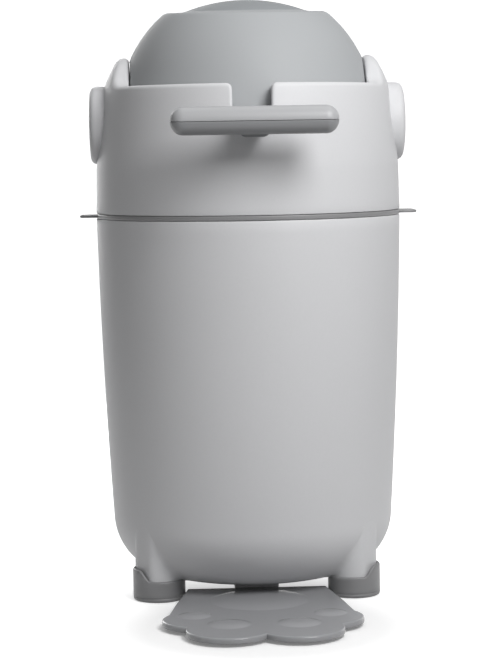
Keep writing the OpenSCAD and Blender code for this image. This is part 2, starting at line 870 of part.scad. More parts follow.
// The lip lies just clear of the ball all the way round
module drum_seal() {
    color(rubber_grey) on_axis() rotate_extrude() translate([0, drum_z]) polygon([
        [sqrt(seal_ball * seal_ball - seal_low * seal_low), seal_low],
        [seal_radius, seal_low], [seal_radius, seal_high], [seal_radius - seal_width, seal_high]]);
}

module carrier_screws() {
    color(steel_grey) on_axis() at_carrier_screws() translate([0, 0, carrier_z]) screw(carrier_screw_length);
}

module axle(side) {
    color(steel_grey) on_axis() difference() {
        union() {
            pivot_cylinder(side, axle_radius, axle_inner, recess_face - axle_inner + 1);
            pivot_cylinder(side, axle_flange_radius, recess_face, axle_flange);
        }
        at_axle_screws(side) translate([0, 0, -1])
            cylinder(r = axle_screw_radius + fit, h = axle_flange + 2, $fn = 32);
    }
}

module axle_screws() {
    color(steel_grey) on_axis() for (side = [LEFT, RIGHT])
        at_axle_screws(side) translate([0, 0, axle_flange]) rotate([180, 0, 0])
            screw(axle_screw_length + axle_flange - 1, axle_screw_radius, axle_screw_head, 1.8);
}

// A round cap with a softly domed face and three posts that snap into the recess
module pivot_cover(side) {
    depth = cover_face - recess_face - gap;
    inner = cover_radius - cover_wall;
    sphere_r = (inner * inner + cover_bulge * cover_bulge) / (2 * cover_bulge);
    lean = asin((cover_radius - cover_edge) / sphere_r);
    color(shell_grey) on_axis() {
        translate([0, 0, cover_z]) along_x(side) translate([0, 0, recess_face + gap]) difference() {
            rotate_extrude() polygon(concat([[0, 0], [cover_radius, 0]],
                arc([cover_radius - cover_edge, depth - cover_edge], cover_edge, 0, 90 - lean, 8),
                [for (i = [1:8]) let (a = lean * (1 - i / 8))
                    [sphere_r * sin(a), depth + cover_bulge - sphere_r * (1 - cos(a))]]));
            translate([0, 0, -1]) cylinder(r = inner, h = depth - cover_edge + 1);
        }
        at_cover_posts(side) translate([0, 0, recess_face - head_wall])
            cylinder(r = post_radius, h = depth - cover_edge + head_wall + gap + 1, $fn = 32);
    }
}

// ---- drum --------------------------------------------------------------------------------------

// Quarter outline of the ball with its flat, softly edged chute end, moved inwards by inset
function drum_quarter(inset) =
    let (ball = drum_radius - inset,
         flat = drum_flat - inset,
         edge = max(drum_edge - inset, 1),
         cz = flat - edge,
         cr = sqrt(pow(ball - edge, 2) - cz * cz),
         lean = atan2(cz, cr))
    concat(arc([0, 0], ball, 0, lean, 30), arc([cr, cz], edge, lean, 90, 8));

module drum_form(inset) {
    quarter = drum_quarter(inset);
    last = len(quarter) - 1;
    intersection() {
        rotate_extrude() polygon(concat([[0, -drum_flat + inset]],
            [for (i = [0:last]) [quarter[last - i][0], -quarter[last - i][1]]],
            [for (i = [1:last]) quarter[i]], [[0, drum_flat - inset]]));
        cube([2 * (drum_side - inset), far, far], center = true);
    }
}

module neck_form(extra, from, to) {
    translate([0, -from, 0]) rotate([90, 0, 0]) linear_extrude(to - from)
        rounded_rect(neck_width + 2 * extra, neck_height + 2 * extra, neck_corner + extra);
}

module drum_half(side) {
    difference() {
        union() {
            difference() {
                drum_form(0);
                drum_form(drum_wall);
            }
            intersection() {
                for (end = [LEFT, RIGHT])
                    along_x(end) translate([0, 0, axle_inner - 1])
                        cylinder(r = bush_radius + bush_boss_wall, h = drum_side - axle_inner);
                drum_form(0.5);
            }
            for (end = [-1, 1])
                translate([0, 0, end > 0 ? tube_half - 2 : -tube_half - rim_thickness])
                    cylinder(r = rim_flange_radius + 3, h = 2 + rim_thickness);
        }
        half_space(-side);
        for (end = [LEFT, RIGHT])
            along_x(end) translate([0, 0, axle_inner - 2]) cylinder(r = bush_radius + fit / 2, h = 30);
        cylinder(r = rim_skirt_radius + fit, h = far, center = true);
        for (end = [-1, 1])
            translate([0, 0, end > 0 ? tube_half : -far - tube_half])
                cylinder(r = rim_flange_radius + fit, h = far);
        neck_form(fit, drum_side - drum_wall, drum_radius + drum_wall);
    }
}

module drum_upper_half() {
    color(drum_grey) in_drum() drum_half(1);
}

// The lower half also has the tongue that lines the halves up
module drum_lower_half() {
    inner = drum_radius - drum_wall;
    color(drum_grey) in_drum() {
        drum_half(-1);
        intersection() {
            rotate_extrude() polygon([[inner - 3, -4], [inner + 0.5, -4], [inner + 0.5, 0],
                                      [inner - gap, 0], [inner - gap, 3], [inner - 3, 3]]);
            difference() {
                cube([2 * (drum_side - drum_wall - gap), far, 20], center = true);
                translate([0, -far / 2, 0]) cube([anchor_width + 4, far, 40], center = true);
            }
        }
    }
}

module chute_tube() {
    color(nylon_white) in_drum() translate([0, 0, -tube_half])
        tube(tube_radius, chute_radius, 2 * tube_half);
}

// A ring that closes the chute's end and holds the piston in, with a soft swell up to its opening
module chute_rim(side) {
    color(drum_grey) in_drum() mirror([0, 0, side < 0 ? 1 : 0]) rotate_extrude() polygon(concat(
        [[rim_opening, tube_half], [tube_radius + fit, tube_half], [tube_radius + fit, tube_half - rim_skirt],
         [rim_skirt_radius, tube_half - rim_skirt], [rim_skirt_radius, tube_half],
         [rim_flange_radius, tube_half], [rim_flange_radius, drum_flat]],
        [for (i = [0:8]) let (t = i / 8)
            [rim_opening + swell_width * (1 - t), drum_flat + swell_rise * t * t]]));
}

module bush(side) {
    color(nylon_white) in_drum() along_x(side) difference() {
        union() {
            translate([0, 0, axle_inner]) cylinder(r = bush_radius, h = axle_reach + bush_flange / 2);
            translate([0, 0, drum_side]) cylinder(r = bush_radius + 3, h = bush_flange);
        }
        translate([0, 0, axle_inner - 1]) cylinder(r = axle_radius + running, h = 40);
    }
}

// ---- handle ------------------------------------------------------------------------------------

module grip_bar(r) {
    straight = bar_length - bar_thickness;
    translate([0, -handle_reach, 0]) {
        translate([-straight / 2, 0, 0]) rotate([0, 90, 0]) cylinder(r = r, h = straight);
        for (side = [-1, 1])
            translate([side * straight / 2, 0, 0]) sphere(r);
    }
}

module handle_form() {
    grip_bar(bar_thickness / 2);
    neck_form(0, anchor_y, handle_reach);
    translate([0, -anchor_y - anchor_thickness / 2, 0])
        cube([anchor_width, anchor_thickness, anchor_height], center = true);
}

module handle_hollow() {
    grip_bar(bar_thickness / 2 - handle_wall);
    neck_form(-handle_wall, anchor_y + anchor_thickness, handle_reach);
}

module at_handle_screws() {
    for (side = [-1, 1])
        translate([side * handle_screw_x, -handle_reach, 0]) children();
}

module handle_half(side) {
    difference() {
        union() {
            difference() {
                handle_form();
                handle_hollow();
            }
            intersection() {
                at_handle_screws() cylinder(r = handle_boss_radius, h = far, center = true);
                grip_bar(bar_thickness / 2 - 0.5);
            }
        }
        translate([0, 0, -side * (far - handle_seam / 2)]) cube(2 * far, center = true);
    }
}

module handle_top() {
    color(drum_grey) in_drum() difference() {
        handle_half(1);
        at_handle_screws() cylinder(r = axle_screw_radius + fit / 2, h = 10, $fn = 32);
    }
}

module handle_bottom() {
    color(drum_grey) in_drum() difference() {
        handle_half(-1);
        at_handle_screws() {
            translate([0, 0, -20]) cylinder(r = axle_screw_radius + fit, h = 22, $fn = 32);
            translate([0, 0, -20 - handle_screw_head_z])
                cylinder(r = axle_screw_head + fit, h = 20, $fn = 32);
        }
    }
}

module handle_screws() {
    color(steel_grey) in_drum() at_handle_screws() translate([0, 0, -handle_screw_head_z])
        screw(handle_screw_head_z + 8, axle_screw_radius, axle_screw_head, 1.8);
}

// ---- piston ------------------------------------------------------------------------------------

// A domed cap above the piston's middle plane, moved inwards by inset
module cap_form(inset) {
    body_r = piston_radius - inset;
    neck_r = neck_radius - inset;
    sphere_r = dome_sphere - inset;
    lean = asin(neck_r / sphere_r);
    body_top = piston_top - inset;
    rotate_extrude() polygon(concat([[0, piston_mid - (inset > 0 ? 1 : 0)],
        [body_r, piston_mid - (inset > 0 ? 1 : 0)], [body_r, body_top], [neck_r, body_top]],
        [for (i = [0:arc_steps]) let (a = lean * (1 - i / arc_steps))
            [sphere_r * sin(a), dome_center + sphere_r * cos(a)]]));
}

// The socket that holds the weight under the cap
module weight_socket() {
    outer = weight_radius + fit + weight_seat_wall;
    top = piston_mid + weight_height / 2;
    difference() {
        translate([0, 0, piston_mid]) cylinder(r = outer, h = piston_length);
        translate([0, 0, piston_mid - 1]) cylinder(r = weight_radius + fit, h = top - piston_mid + 1);
        translate([0, 0, piston_mid]) cylinder(r = weight_radius - weight_seat_ledge, h = 2 * piston_length);
    }
}

module piston_cap() {
    groove_z = piston_mid + piston_length / 4 - piston_seal_width / 2;
    difference() {
        union() {
            difference() {
                cap_form(0);
                cap_form(cap_wall);
            }
            intersection() {
                weight_socket();
                cap_form(0.5);
            }
        }
        translate([0, 0, groove_z]) tube(piston_radius + 1, piston_radius - piston_seal_depth, piston_seal_width);
    }
}

module piston_seal() {
    groove_z = piston_mid + piston_length / 4 - piston_seal_width / 2;
    translate([0, 0, groove_z])
        tube(piston_radius + gap / 3, piston_radius - piston_seal_depth, piston_seal_width);
}

// The lower half of the piston is the upper one turned over
module turned_over() {
    translate([0, 0, piston_mid]) mirror([0, 0, 1]) translate([0, 0, -piston_mid]) children();
}

module upper_piston_cap() {
    color(drum_grey) in_drum() piston_cap();
}

module lower_piston_cap() {
    color(drum_grey) in_drum() turned_over() piston_cap();
}

module upper_piston_seal() {
    color(rubber_grey) in_drum() piston_seal();
}

module lower_piston_seal() {
    color(rubber_grey) in_drum() turned_over() piston_seal();
}

module piston_weight() {
    color(steel_grey) in_drum() translate([0, 0, piston_mid - weight_height / 2])
        cylinder(r = weight_radius, h = weight_height);
}

// ---- nodes -------------------------------------------------------------------------------------

bin_body();
boot(LEFT, FRONT);  // front_left_boot
boot(RIGHT, FRONT);  // front_right_boot
boot(LEFT, REAR);  // rear_left_boot
boot(RIGHT, REAR);  // rear_right_boot
foot_plate();
foot_plate_bracket();
foot_plate_pads();
foot_plate_screws();
hinge_pin();
bag_ring();
head_shell();
seal_carrier();
drum_seal();
carrier_screws();
axle(LEFT);  // left_axle
axle(RIGHT);  // right_axle
axle_screws();
pivot_cover(LEFT);  // left_pivot_cover
pivot_cover(RIGHT);  // right_pivot_cover
drum_upper_half();
drum_lower_half();
chute_tube();
chute_rim(1);  // upper_chute_rim
chute_rim(-1);  // lower_chute_rim
bush(LEFT);  // left_bush
bush(RIGHT);  // right_bush
handle_top();
handle_bottom();
handle_screws();
upper_piston_cap();
lower_piston_cap();
upper_piston_seal();
lower_piston_seal();
piston_weight();
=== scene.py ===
"""Looks for the nappy bin: softer pieces, finishes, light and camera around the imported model."""

import math

import bmesh
import bpy
from mathutils import Matrix, Vector


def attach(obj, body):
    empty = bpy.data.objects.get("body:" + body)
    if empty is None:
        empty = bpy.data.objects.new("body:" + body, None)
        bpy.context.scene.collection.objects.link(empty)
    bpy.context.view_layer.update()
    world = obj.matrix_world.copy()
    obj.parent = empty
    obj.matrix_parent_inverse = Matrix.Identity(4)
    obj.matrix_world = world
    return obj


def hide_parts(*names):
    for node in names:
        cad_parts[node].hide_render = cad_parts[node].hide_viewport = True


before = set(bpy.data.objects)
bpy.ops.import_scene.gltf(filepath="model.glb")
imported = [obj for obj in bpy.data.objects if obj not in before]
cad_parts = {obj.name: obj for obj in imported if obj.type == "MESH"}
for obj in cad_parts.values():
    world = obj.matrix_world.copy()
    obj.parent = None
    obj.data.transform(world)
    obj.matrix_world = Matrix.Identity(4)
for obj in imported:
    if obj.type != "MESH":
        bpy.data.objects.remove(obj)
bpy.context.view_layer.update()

MM = 0.001

# ---- places and sizes, in millimetres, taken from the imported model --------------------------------

AXIS_Y = 62.0
WALL = 3.0

# Tub: radii at the foot and at the top, and how far its side bows out between them.
TUB_LOW = 139.8
TUB_TOP = 151.0
TUB_BOW = 1.6
TUB_RIM = 370.0
UNDERSIDE = 13.7
BOTTOM_ROUND = 60.0
BOTTOM_EDGE_Z = UNDERSIDE + BOTTOM_ROUND

# Legs and their boots. A boot is low on its inner side and high on its outer side.
LEG_X = 95.5
LEG_Y = 73.0
LEG = 22.2
LEG_WALL = 3.0
LEG_FLARE = 9.0
BOOT = 25.5
BOOT_WALL = 3.2
BOOT_SOLE = 3.0
BOOT_LOW = 20.5
BOOT_HIGH = 31.0
BOOT_SLOPE = (8.5, 21.0)
BOOT_BEAD = 1.5

# Foot plate: half outline in plan, then toes and mounds as (across, along, radius).
PLATE_LOW = 3.0
PLATE_TOP = 8.5
PLATE_MIDDLE = (0.0, -160.0)
PLATE_SIDE = [(68.0, -72.0), (80.0, -140.0), (87.2, -191.0), (57.0, -226.0), (32.0, -270.0), (0.0, -260.0)]
PLATE_ROUND = 2.0
TONGUE_SIDE = 21.5
TONGUE_END = -8.0
TONGUE_ROOT = -82.0
TONGUE = [(TONGUE_SIDE, TONGUE_END), (TONGUE_SIDE, TONGUE_ROOT), (-TONGUE_SIDE, TONGUE_ROOT),
          (-TONGUE_SIDE, TONGUE_END)]
TOES = [(57.0, -208.0, 36.0), (32.0, -250.0, 40.0)]
MOUNDS = [(0.0, -131.0, 47.0), (32.0, -232.0, 20.0), (63.0, -194.0, 15.5)]
MOUND_RISE = 2.0
MOUND_FULLNESS = 3.2

# Bag ring in the seam, with its side tabs, and the hinge behind it.
SEAM_Z = 372.6
RING_LOW = 370.3
RING_HIGH = 374.9
RING_OPENING = 120.0
RING_SKIRT = 12.0
TAB_ROOT = 145.0
TAB_REACH = 167.0
TAB_SIDE = 22.0
TAB_HALF = 1.4
HINGE_Y = 159.5
KNUCKLE = 6.5
KNUCKLE_WIDTH = 12.0
KNUCKLE_ROUND = 0.8
HEAD_KNUCKLE_X = 18.3
TUB_KNUCKLE_X = 30.6
RING_KNUCKLE_WIDTH = 24.0
RING_ARM_ROOT = 148.0
WEB_ROOT = 147.5
WEB_LENGTH = 24.0

# Head: shoulder, rim, the liner round the drum, the notches and the two ears.
HEAD_Z = 375.2
SHOULDER_Z = 420.2
SHOULDER = 150.1
RIM_Z = 498.5
RIM_RADIUS = 141.0
RIM_CURVE = 0.35
LINER = 128.0
LINER_LOW = 440.5
SPLIT_Z = 444.5
NOTCH_WIDTH = 36.6
NOTCH_CORNER = 5.6
NOTCH_EDGE = 2.6
NOTCH_FILLET = 1.7
NOTCH_FLOOR_ROUND = 1.6
FRONT_FLOOR = 452.3
REAR_FLOOR = 452.3
EAR_FACE = 115.5
EAR_TOP = 528.0
EAR_RADIUS = 126.0
EAR_BOW = 5.2
ARCH = 55.0
ARCH_FOOT = 30.0
HEAD_ROWS = (384, 394, 404, 410, 415, 418, 421, 424, 428, 434, SPLIT_Z)
SIDE_ANGLES = (-78.5, -77, -74, -70, -66, -62, -58, -54, -50, -46, -43, -40, -37, -35, -33, -31, -29.5, -28)

# Round covers over the pivots.
COVER = 38.5
COVER_Z = 462.0
COVER_BACK = 128.3
COVER_FACE = 154.8
COVER_BULGE = 1.8
COVER_EDGE = 7.0

# Drum and falling weight, measured from the drum's own middle.
DRUM_Z = 473.0
REST_TILT = math.radians(3)
BALL = 126.5
DRUM_FLAT = 98.5
DRUM_SIDE = 114.5
DRUM_EDGE = 11.0
DRUM_SIDE_EDGE = 2.5
DRUM_PARTING = 0.15
RIM_FLANGE = 71.9
SWELL = 1.5
DOME = 168.0
NECK_RADIUS = 58.17
PISTON = 61.67
PISTON_TOP = 95.2
PISTON_MID = 83.2
GROOVE = 87.7

# Handle, measured from the drum's own middle.
BAR_LENGTH = 154.0
BAR = 13.0
BAR_REACH = 192.0
NECK_START = 116.0
NECK_WIDTH = 26.0
NECK_LOW = 12.5
NECK_HIGH = 10.5
NECK_DIP = 2.8
NECK_ROUND = 6.0
SEAM = 0.2

# ---- light and paper -----------------------------------------------------------------------------

# Brightness of the paper under and behind the object, and where the paper curves up, in metres. The glow is
# painted light, seen by the camera and in reflections: dim by the foot plate, where it lightens the paper's
# shadows, and full under the tub and on the backdrop, where it paints light into the tub's shade.
PAPER_NEAR = 0.5
PAPER_FAR = 0.2
PAPER_GLOW = 0.16
BACKDROP_GLOW_AND_PAINTED_LIGHT = 0.95
AIR_FILL = 0.27
CURVE_START = 2.0
CURVE_RADIUS = 1.0

# ---- camera --------------------------------------------------------------------------------------

CAMERA_PLACE = (-82.5, -2086.4, 442.7)
CAMERA_PITCH = math.radians(-5.1)
CAMERA_ROLL = math.radians(-0.93)
CAMERA_HALF_ANGLE = math.radians(17.69 / 2)


def set_camera():
    """A camera at the picture's viewpoint, as high as the head and turned a little down."""
    data = bpy.data.cameras.new("studio_camera")
    data.sensor_width = 36
    data.lens = data.sensor_width / 2 / math.tan(CAMERA_HALF_ANGLE)
    data.clip_end = 50
    camera = bpy.data.objects.new("studio_camera", data)
    bpy.context.scene.collection.objects.link(camera)
    place = Vector(CAMERA_PLACE) * MM
    target = Vector((0, AXIS_Y, 0)) * MM
    forward = Vector((target.x - place.x, target.y - place.y, 0)).normalized()
    yaw = math.atan2(-forward.x, forward.y)
    turn = Matrix.Rotation(yaw, 4, "Z") @ Matrix.Rotation(math.pi / 2 + CAMERA_PITCH, 4, "X")
    camera.matrix_world = Matrix.Translation(place) @ turn @ Matrix.Rotation(CAMERA_ROLL, 4, "Z")
    bpy.context.scene.camera = camera


# ---- finishes ------------------------------------------------------------------------------------


def new_group(name, inputs, outputs):
    """An empty shader node group with named inputs and outputs."""
    group = bpy.data.node_groups.new(name, "ShaderNodeTree")
    for label, kind, value in inputs:
        socket = group.interface.new_socket(label, in_out="INPUT", socket_type=kind)
        if value is not None:
            socket.default_value = value
    for label, kind in outputs:
        group.interface.new_socket(label, in_out="OUTPUT", socket_type=kind)
    return group, group.nodes.new("NodeGroupInput"), group.nodes.new("NodeGroupOutput")


def linked(tree, kind, links, **settings):
    """A node whose inputs are set from values or linked from other nodes' outputs."""
    node = tree.nodes.new(kind)
    for key, value in settings.items():
        setattr(node, key, value)
    for key, value in links.items():
        if isinstance(value, bpy.types.NodeSocket):
            tree.links.new(value, node.inputs[key])
        else:
            node.inputs[key].default_value = value
    return node


def moulded_grain_group():
    """Fine spark-eroded grain of moulded plastic, as a height, and slow drifts in tone, as a mask."""
    group, inp, out = new_group(
        "moulded_grain",
        [("Grain Scale", "NodeSocketFloat", 1800.0), ("Drift Scale", "NodeSocketFloat", 9.0)],
        [("Height", "NodeSocketFloat"), ("Drift", "NodeSocketFloat"), ("Speckle", "NodeSocketFloat")],
    )
    place = group.nodes.new("ShaderNodeTexCoord").outputs["Object"]
    grain = linked(group, "ShaderNodeTexNoise", {
        "Vector": place, "Scale": inp.outputs["Grain Scale"], "Detail": 3.0, "Roughness": 0.6})
    cells = linked(group, "ShaderNodeTexVoronoi", {"Vector": place, "Scale": inp.outputs["Grain Scale"]})
    height = linked(group, "ShaderNodeMath", {
        0: grain.outputs["Fac"], 1: cells.outputs["Distance"]}, operation="ADD")
    drift = linked(group, "ShaderNodeTexNoise", {
        "Vector": place, "Scale": inp.outputs["Drift Scale"], "Detail": 2.0})
    speckle = linked(group, "ShaderNodeTexNoise", {"Vector": place, "Scale": 420.0, "Detail": 4.0})
    group.links.new(height.outputs[0], out.inputs["Height"])
    group.links.new(drift.outputs["Fac"], out.inputs["Drift"])
    group.links.new(speckle.outputs["Fac"], out.inputs["Speckle"])
    return group


def edge_wear_group():
    """A mask of rubbed edges, from the pieces' own edge attribute, and of fine scuffs near them."""
    group, inp, out = new_group(
        "edge_wear",
        [("Amount", "NodeSocketFloat", 0.5)],
        [("Mask", "NodeSocketFloat")],
    )
    place = group.nodes.new("ShaderNodeTexCoord").outputs["Object"]
    edge = linked(group, "ShaderNodeAttribute", {}, attribute_name="edge")
    patches = linked(group, "ShaderNodeTexNoise", {"Vector": place, "Scale": 55.0, "Detail": 5.0})
    sharp = linked(group, "ShaderNodeMapRange", {
        "Value": patches.outputs["Fac"], "From Min": 0.42, "From Max": 0.68})
    mask = linked(group, "ShaderNodeMath", {0: edge.outputs["Fac"], 1: sharp.outputs["Result"]},
                  operation="MULTIPLY")
    scaled = linked(group, "ShaderNodeMath", {0: mask.outputs[0], 1: inp.outputs["Amount"]},
                    operation="MULTIPLY")
    group.links.new(scaled.outputs[0], out.inputs["Mask"])
    return group


GRAIN = moulded_grain_group()
WEAR = edge_wear_group()


def grouped(tree, group, **values):
    """The shared node group placed in a material's tree with values of its own."""
    node = tree.nodes.new("ShaderNodeGroup")
    node.node_tree = group
    for label, value in values.items():
        node.inputs[label.replace("_", " ").title()].default_value = value
    return node


def finish_material(name, colour, roughness, drift=0.05, speckle=0.02, grain=0.12, grain_scale=1800.0,
                    wear=0.5, lighter=1.25, metallic=0.0, specular=0.5, sheen=0.0):
    """A moulded, rubber or metal finish: colour drift, fine speckle, grained bump and rubbed edges."""
    material = bpy.data.materials.new(name)
    material.use_nodes = True
    tree = material.node_tree
    shader = tree.nodes["Principled BSDF"]
    texture = grouped(tree, GRAIN, grain_scale=grain_scale)
    rubbed = grouped(tree, WEAR, amount=wear)
    dark = [c * (1 - drift) for c in colour] + [1]
    light = [min(1, c * (1 + drift)) for c in colour] + [1]
    worn = [min(1, c * lighter) for c in colour] + [1]
    base = linked(tree, "ShaderNodeMix", {
        "Factor": texture.outputs["Drift"], "A": dark, "B": light}, data_type="RGBA")
    flecks = linked(tree, "ShaderNodeMix", {
        "Factor": texture.outputs["Speckle"], "A": [1 - speckle] * 3 + [1], "B": [1 + speckle] * 3 + [1]},
        data_type="RGBA")
    tone = linked(tree, "ShaderNodeMix", {
        "Factor": 1.0, "A": base.outputs["Result"], "B": flecks.outputs["Result"]},
        data_type="RGBA", blend_type="MULTIPLY")
    final = linked(tree, "ShaderNodeMix", {
        "Factor": rubbed.outputs["Mask"], "A": tone.outputs["Result"], "B": worn}, data_type="RGBA")
    rough = linked(tree, "ShaderNodeMapRange", {
        "Value": texture.outputs["Speckle"], "To Min": roughness * 0.88, "To Max": roughness * 1.12})
    bump = linked(tree, "ShaderNodeBump", {
        "Height": texture.outputs["Height"], "Strength": grain, "Distance": 0.0002})
    tree.links.new(final.outputs["Result"], shader.inputs["Base Color"])
    tree.links.new(rough.outputs["Result"], shader.inputs["Roughness"])
    tree.links.new(bump.outputs["Normal"], shader.inputs["Normal"])
    shader.inputs["Metallic"].default_value = metallic
    shader.inputs["Specular IOR Level"].default_value = specular
    shader.inputs["Sheen Weight"].default_value = sheen
    return material


SHELL = finish_material("shell_plastic", (0.655, 0.657, 0.67), 0.5, drift=0.015, specular=0.4)
DRUM = finish_material("drum_plastic", (0.39, 0.402, 0.412), 0.6, drift=0.02, specular=0.4)
# Lit and shaded copies of the handle's one plastic: the lighter upper is painted light from above, the
# darker lower is painted shade under the bar.
HANDLE_UPPER_PAINTED_LIGHT = finish_material("handle_upper_painted_light", (0.4, 0.403, 0.413), 0.42, drift=0.02,
                               speckle=0.01, grain=0.03)
HANDLE_LOWER_PAINTED_SHADE = finish_material("handle_lower_painted_shade", (0.235, 0.238, 0.246), 0.42, drift=0.02,
                               speckle=0.01, grain=0.03)
PISTON_FINISH = finish_material("piston_plastic", (0.29, 0.305, 0.317), 0.55, drift=0.02, specular=0.3)
PLATE = finish_material("plate_plastic", (0.335, 0.338, 0.35), 0.17, drift=0.03, grain=0.04)
BOOT_FINISH = finish_material("boot_plastic", (0.235, 0.235, 0.24), 0.45, drift=0.03)
RING = finish_material("ring_plastic", (0.25, 0.25, 0.255), 0.45, drift=0.03)
NYLON = finish_material("nylon", (0.72, 0.72, 0.70), 0.4, drift=0.02)
RUBBER = finish_material("rubber", (0.045, 0.045, 0.048), 0.65, drift=0.1, sheen=0.2)
STEEL = finish_material("plated_steel", (0.62, 0.62, 0.64), 0.28, drift=0.04, grain=0.03, metallic=1.0)
IRON = finish_material("cast_iron", (0.16, 0.16, 0.165), 0.55, drift=0.15, grain=0.5, grain_scale=700.0,
                       metallic=0.8)

NODE_FINISHES = {
    SHELL: ["bin_body", "head_shell", "left_pivot_cover", "right_pivot_cover", "foot_plate_bracket"],
    DRUM: ["drum_upper_half", "drum_lower_half", "upper_chute_rim", "lower_chute_rim"],
    # The handle's shells take the lit copy above and the shaded copy below, as painted light and painted
    # shade.
    HANDLE_UPPER_PAINTED_LIGHT: ["handle_top"],
    HANDLE_LOWER_PAINTED_SHADE: ["handle_bottom"],
    PISTON_FINISH: ["upper_piston_cap", "lower_piston_cap"],
    PLATE: ["foot_plate"],
    BOOT_FINISH: ["front_left_boot", "front_right_boot", "rear_left_boot", "rear_right_boot"],
    RING: ["bag_ring"],
    NYLON: ["seal_carrier", "chute_tube", "left_bush", "right_bush"],
    RUBBER: ["foot_plate_pads", "drum_seal", "upper_piston_seal", "lower_piston_seal"],
    STEEL: ["foot_plate_screws", "hinge_pin", "carrier_screws", "left_axle", "right_axle",
            "axle_screws", "handle_screws"],
    IRON: ["piston_weight"],
}


def dress_nodes():
    """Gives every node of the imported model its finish."""
    for material, names in NODE_FINISHES.items():
        for name in names:
            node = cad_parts[name]
            node.data.materials.clear()
            node.data.materials.append(material)


# ---- modelling helpers ----------------------------------------------------------------------------


def between(a, b, t):
    """The point or number that lies the share t of the way from a to b."""
    return a + (b - a) * t


def soft_step(t):
    """A smooth step from 0 to 1 as t goes from 0 to 1."""
    t = min(max(t, 0.0), 1.0)
    return t * t * (3 - 2 * t)


def soft_wave(t):
    """A smooth step in the form of half a wave."""
    return (1 - math.cos(math.pi * min(max(t, 0.0), 1.0))) / 2


def heading(angle):
    """The flat direction at an angle."""
    return Vector((math.cos(angle), math.sin(angle)))


def soft_turn(start, corner, end, steps):
    """Points of a soft corner from start to end, pulled towards the sharp corner."""
    return [start * (1 - t) ** 2 + corner * 2 * t * (1 - t) + end * t ** 2
            for t in (i / steps for i in range(steps + 1))]


def rounded_outline(corners, steps=5):
    """A closed outline whose corners, given as (across, up, radius), are rounded."""
    points = []
    for i, (x, y, radius) in enumerate(corners):
        here = Vector((x, y))
        before = Vector(corners[i - 1][:2]) - here
        after = Vector(corners[(i + 1) % len(corners)][:2]) - here
        reach = radius / math.tan(before.angle(after) / 2)
        reach = min(reach, before.length * 0.49, after.length * 0.49)
        start = here + before.normalized() * reach
        end = here + after.normalized() * reach
        points += soft_turn(start, between(here, (start + end) / 2, 0.12), end, steps)
    return points


def joined(bm):
    """Merges meeting points, drops faces of no area and turns all faces outwards."""
    bmesh.ops.remove_doubles(bm, verts=bm.verts, dist=0.003)
    bmesh.ops.dissolve_degenerate(bm, edges=bm.edges, dist=0.001)
    bmesh.ops.recalc_face_normals(bm, faces=bm.faces)
    return bm


def shaped_grid(across, along, place):
    """A sheet of across by along cells whose points are put in space by place(column, row)."""
    bm = bmesh.new()
    bmesh.ops.create_grid(bm, x_segments=across, y_segments=along, size=0.5)
    for v in bm.verts:
        v.co = place(round((v.co.x + 0.5) * across), round((v.co.y + 0.5) * along))
    return joined(bm)


def spun(outline, steps, closed=True):
    """The half outline of (radius, height) points, turned all the way round the upright axis."""
    bm = bmesh.new()
    verts = [bm.verts.new((p[0], 0, p[1])) for p in outline]
    ends = verts[1:] + verts[:1] if closed else verts[1:]
    edges = [bm.edges.new(pair) for pair in zip(verts, ends)]
    bmesh.ops.spin(bm, geom=verts + edges, cent=(0, 0, 0), axis=(0, 0, 1), dvec=(0, 0, 0),
                   angle=2 * math.pi, steps=steps, use_merge=True)
    return joined(bm)


def edges_of(geom):
    """The edges among what an operator gives back."""
    return [g for g in geom if isinstance(g, bmesh.types.BMEdge) and g.is_valid]


def verts_of(geom):
    """The points among what an operator gives back."""
    return [g for g in geom if isinstance(g, bmesh.types.BMVert)]


def sharp_edges(bm, angle):
    """The edges whose faces turn by more than the angle."""
    return [e for e in bm.edges if e.calc_face_angle(0) > angle]


def softened(bm, edges, offset, segments=2):
    """Rounds the edges off by the offset."""
    bmesh.ops.bevel(bm, geom=edges, offset=offset, segments=segments, profile=0.5, affect="EDGES",
                    material=-1)


def halved(bm, place, normal, **side):
    """Cuts bm through, keeps one side and gives back the cut's edges."""
    geom = bm.verts[:] + bm.edges[:] + bm.faces[:]
    cut = bmesh.ops.bisect_plane(bm, geom=geom, dist=0.001, plane_co=place, plane_no=normal, **side)
    return edges_of(cut["geom_cut"])


def closed_cut(bm, place, normal, offset, segments, **side):
    """Cuts bm, closes the cut with a flat face and softens that face's edges."""
    edges = halved(bm, place, normal, **side)
    bmesh.ops.contextual_create(bm, geom=edges)
    softened(bm, [e for e in edges if e.is_valid], offset, segments)


def round_pin(width):
    """A cylinder of a knuckle's size that lies along the hinge."""
    bm = bmesh.new()
    bmesh.ops.create_cone(bm, cap_ends=True, segments=40, radius1=KNUCKLE, radius2=KNUCKLE, depth=width)
    bmesh.ops.rotate(bm, verts=bm.verts, matrix=Matrix.Rotation(math.pi / 2, 3, "Y"))
    return bm


def added(bm, other):
    """Puts a copy of other's faces into bm."""
    mesh = bpy.data.meshes.new("part")
    other.to_mesh(mesh)
    bm.from_mesh(mesh)
    bpy.data.meshes.remove(mesh)
    other.free()
    return bm


def mark_edges(bm):
    """Notes how sharply the surface turns outwards at each point, for the rubbed edges."""
    layer = bm.verts.layers.float.new("edge")
    for v in bm.verts:
        turn = 0.0
        for e in v.link_edges:
            if len(e.link_faces) == 2:
                a, b = (f.calc_center_median() for f in e.link_faces)
                turn = max(turn, e.calc_face_angle_signed(0.0) / max((a - b).length, 0.2))
        v[layer] = soft_step((turn - 0.12) / 0.5)


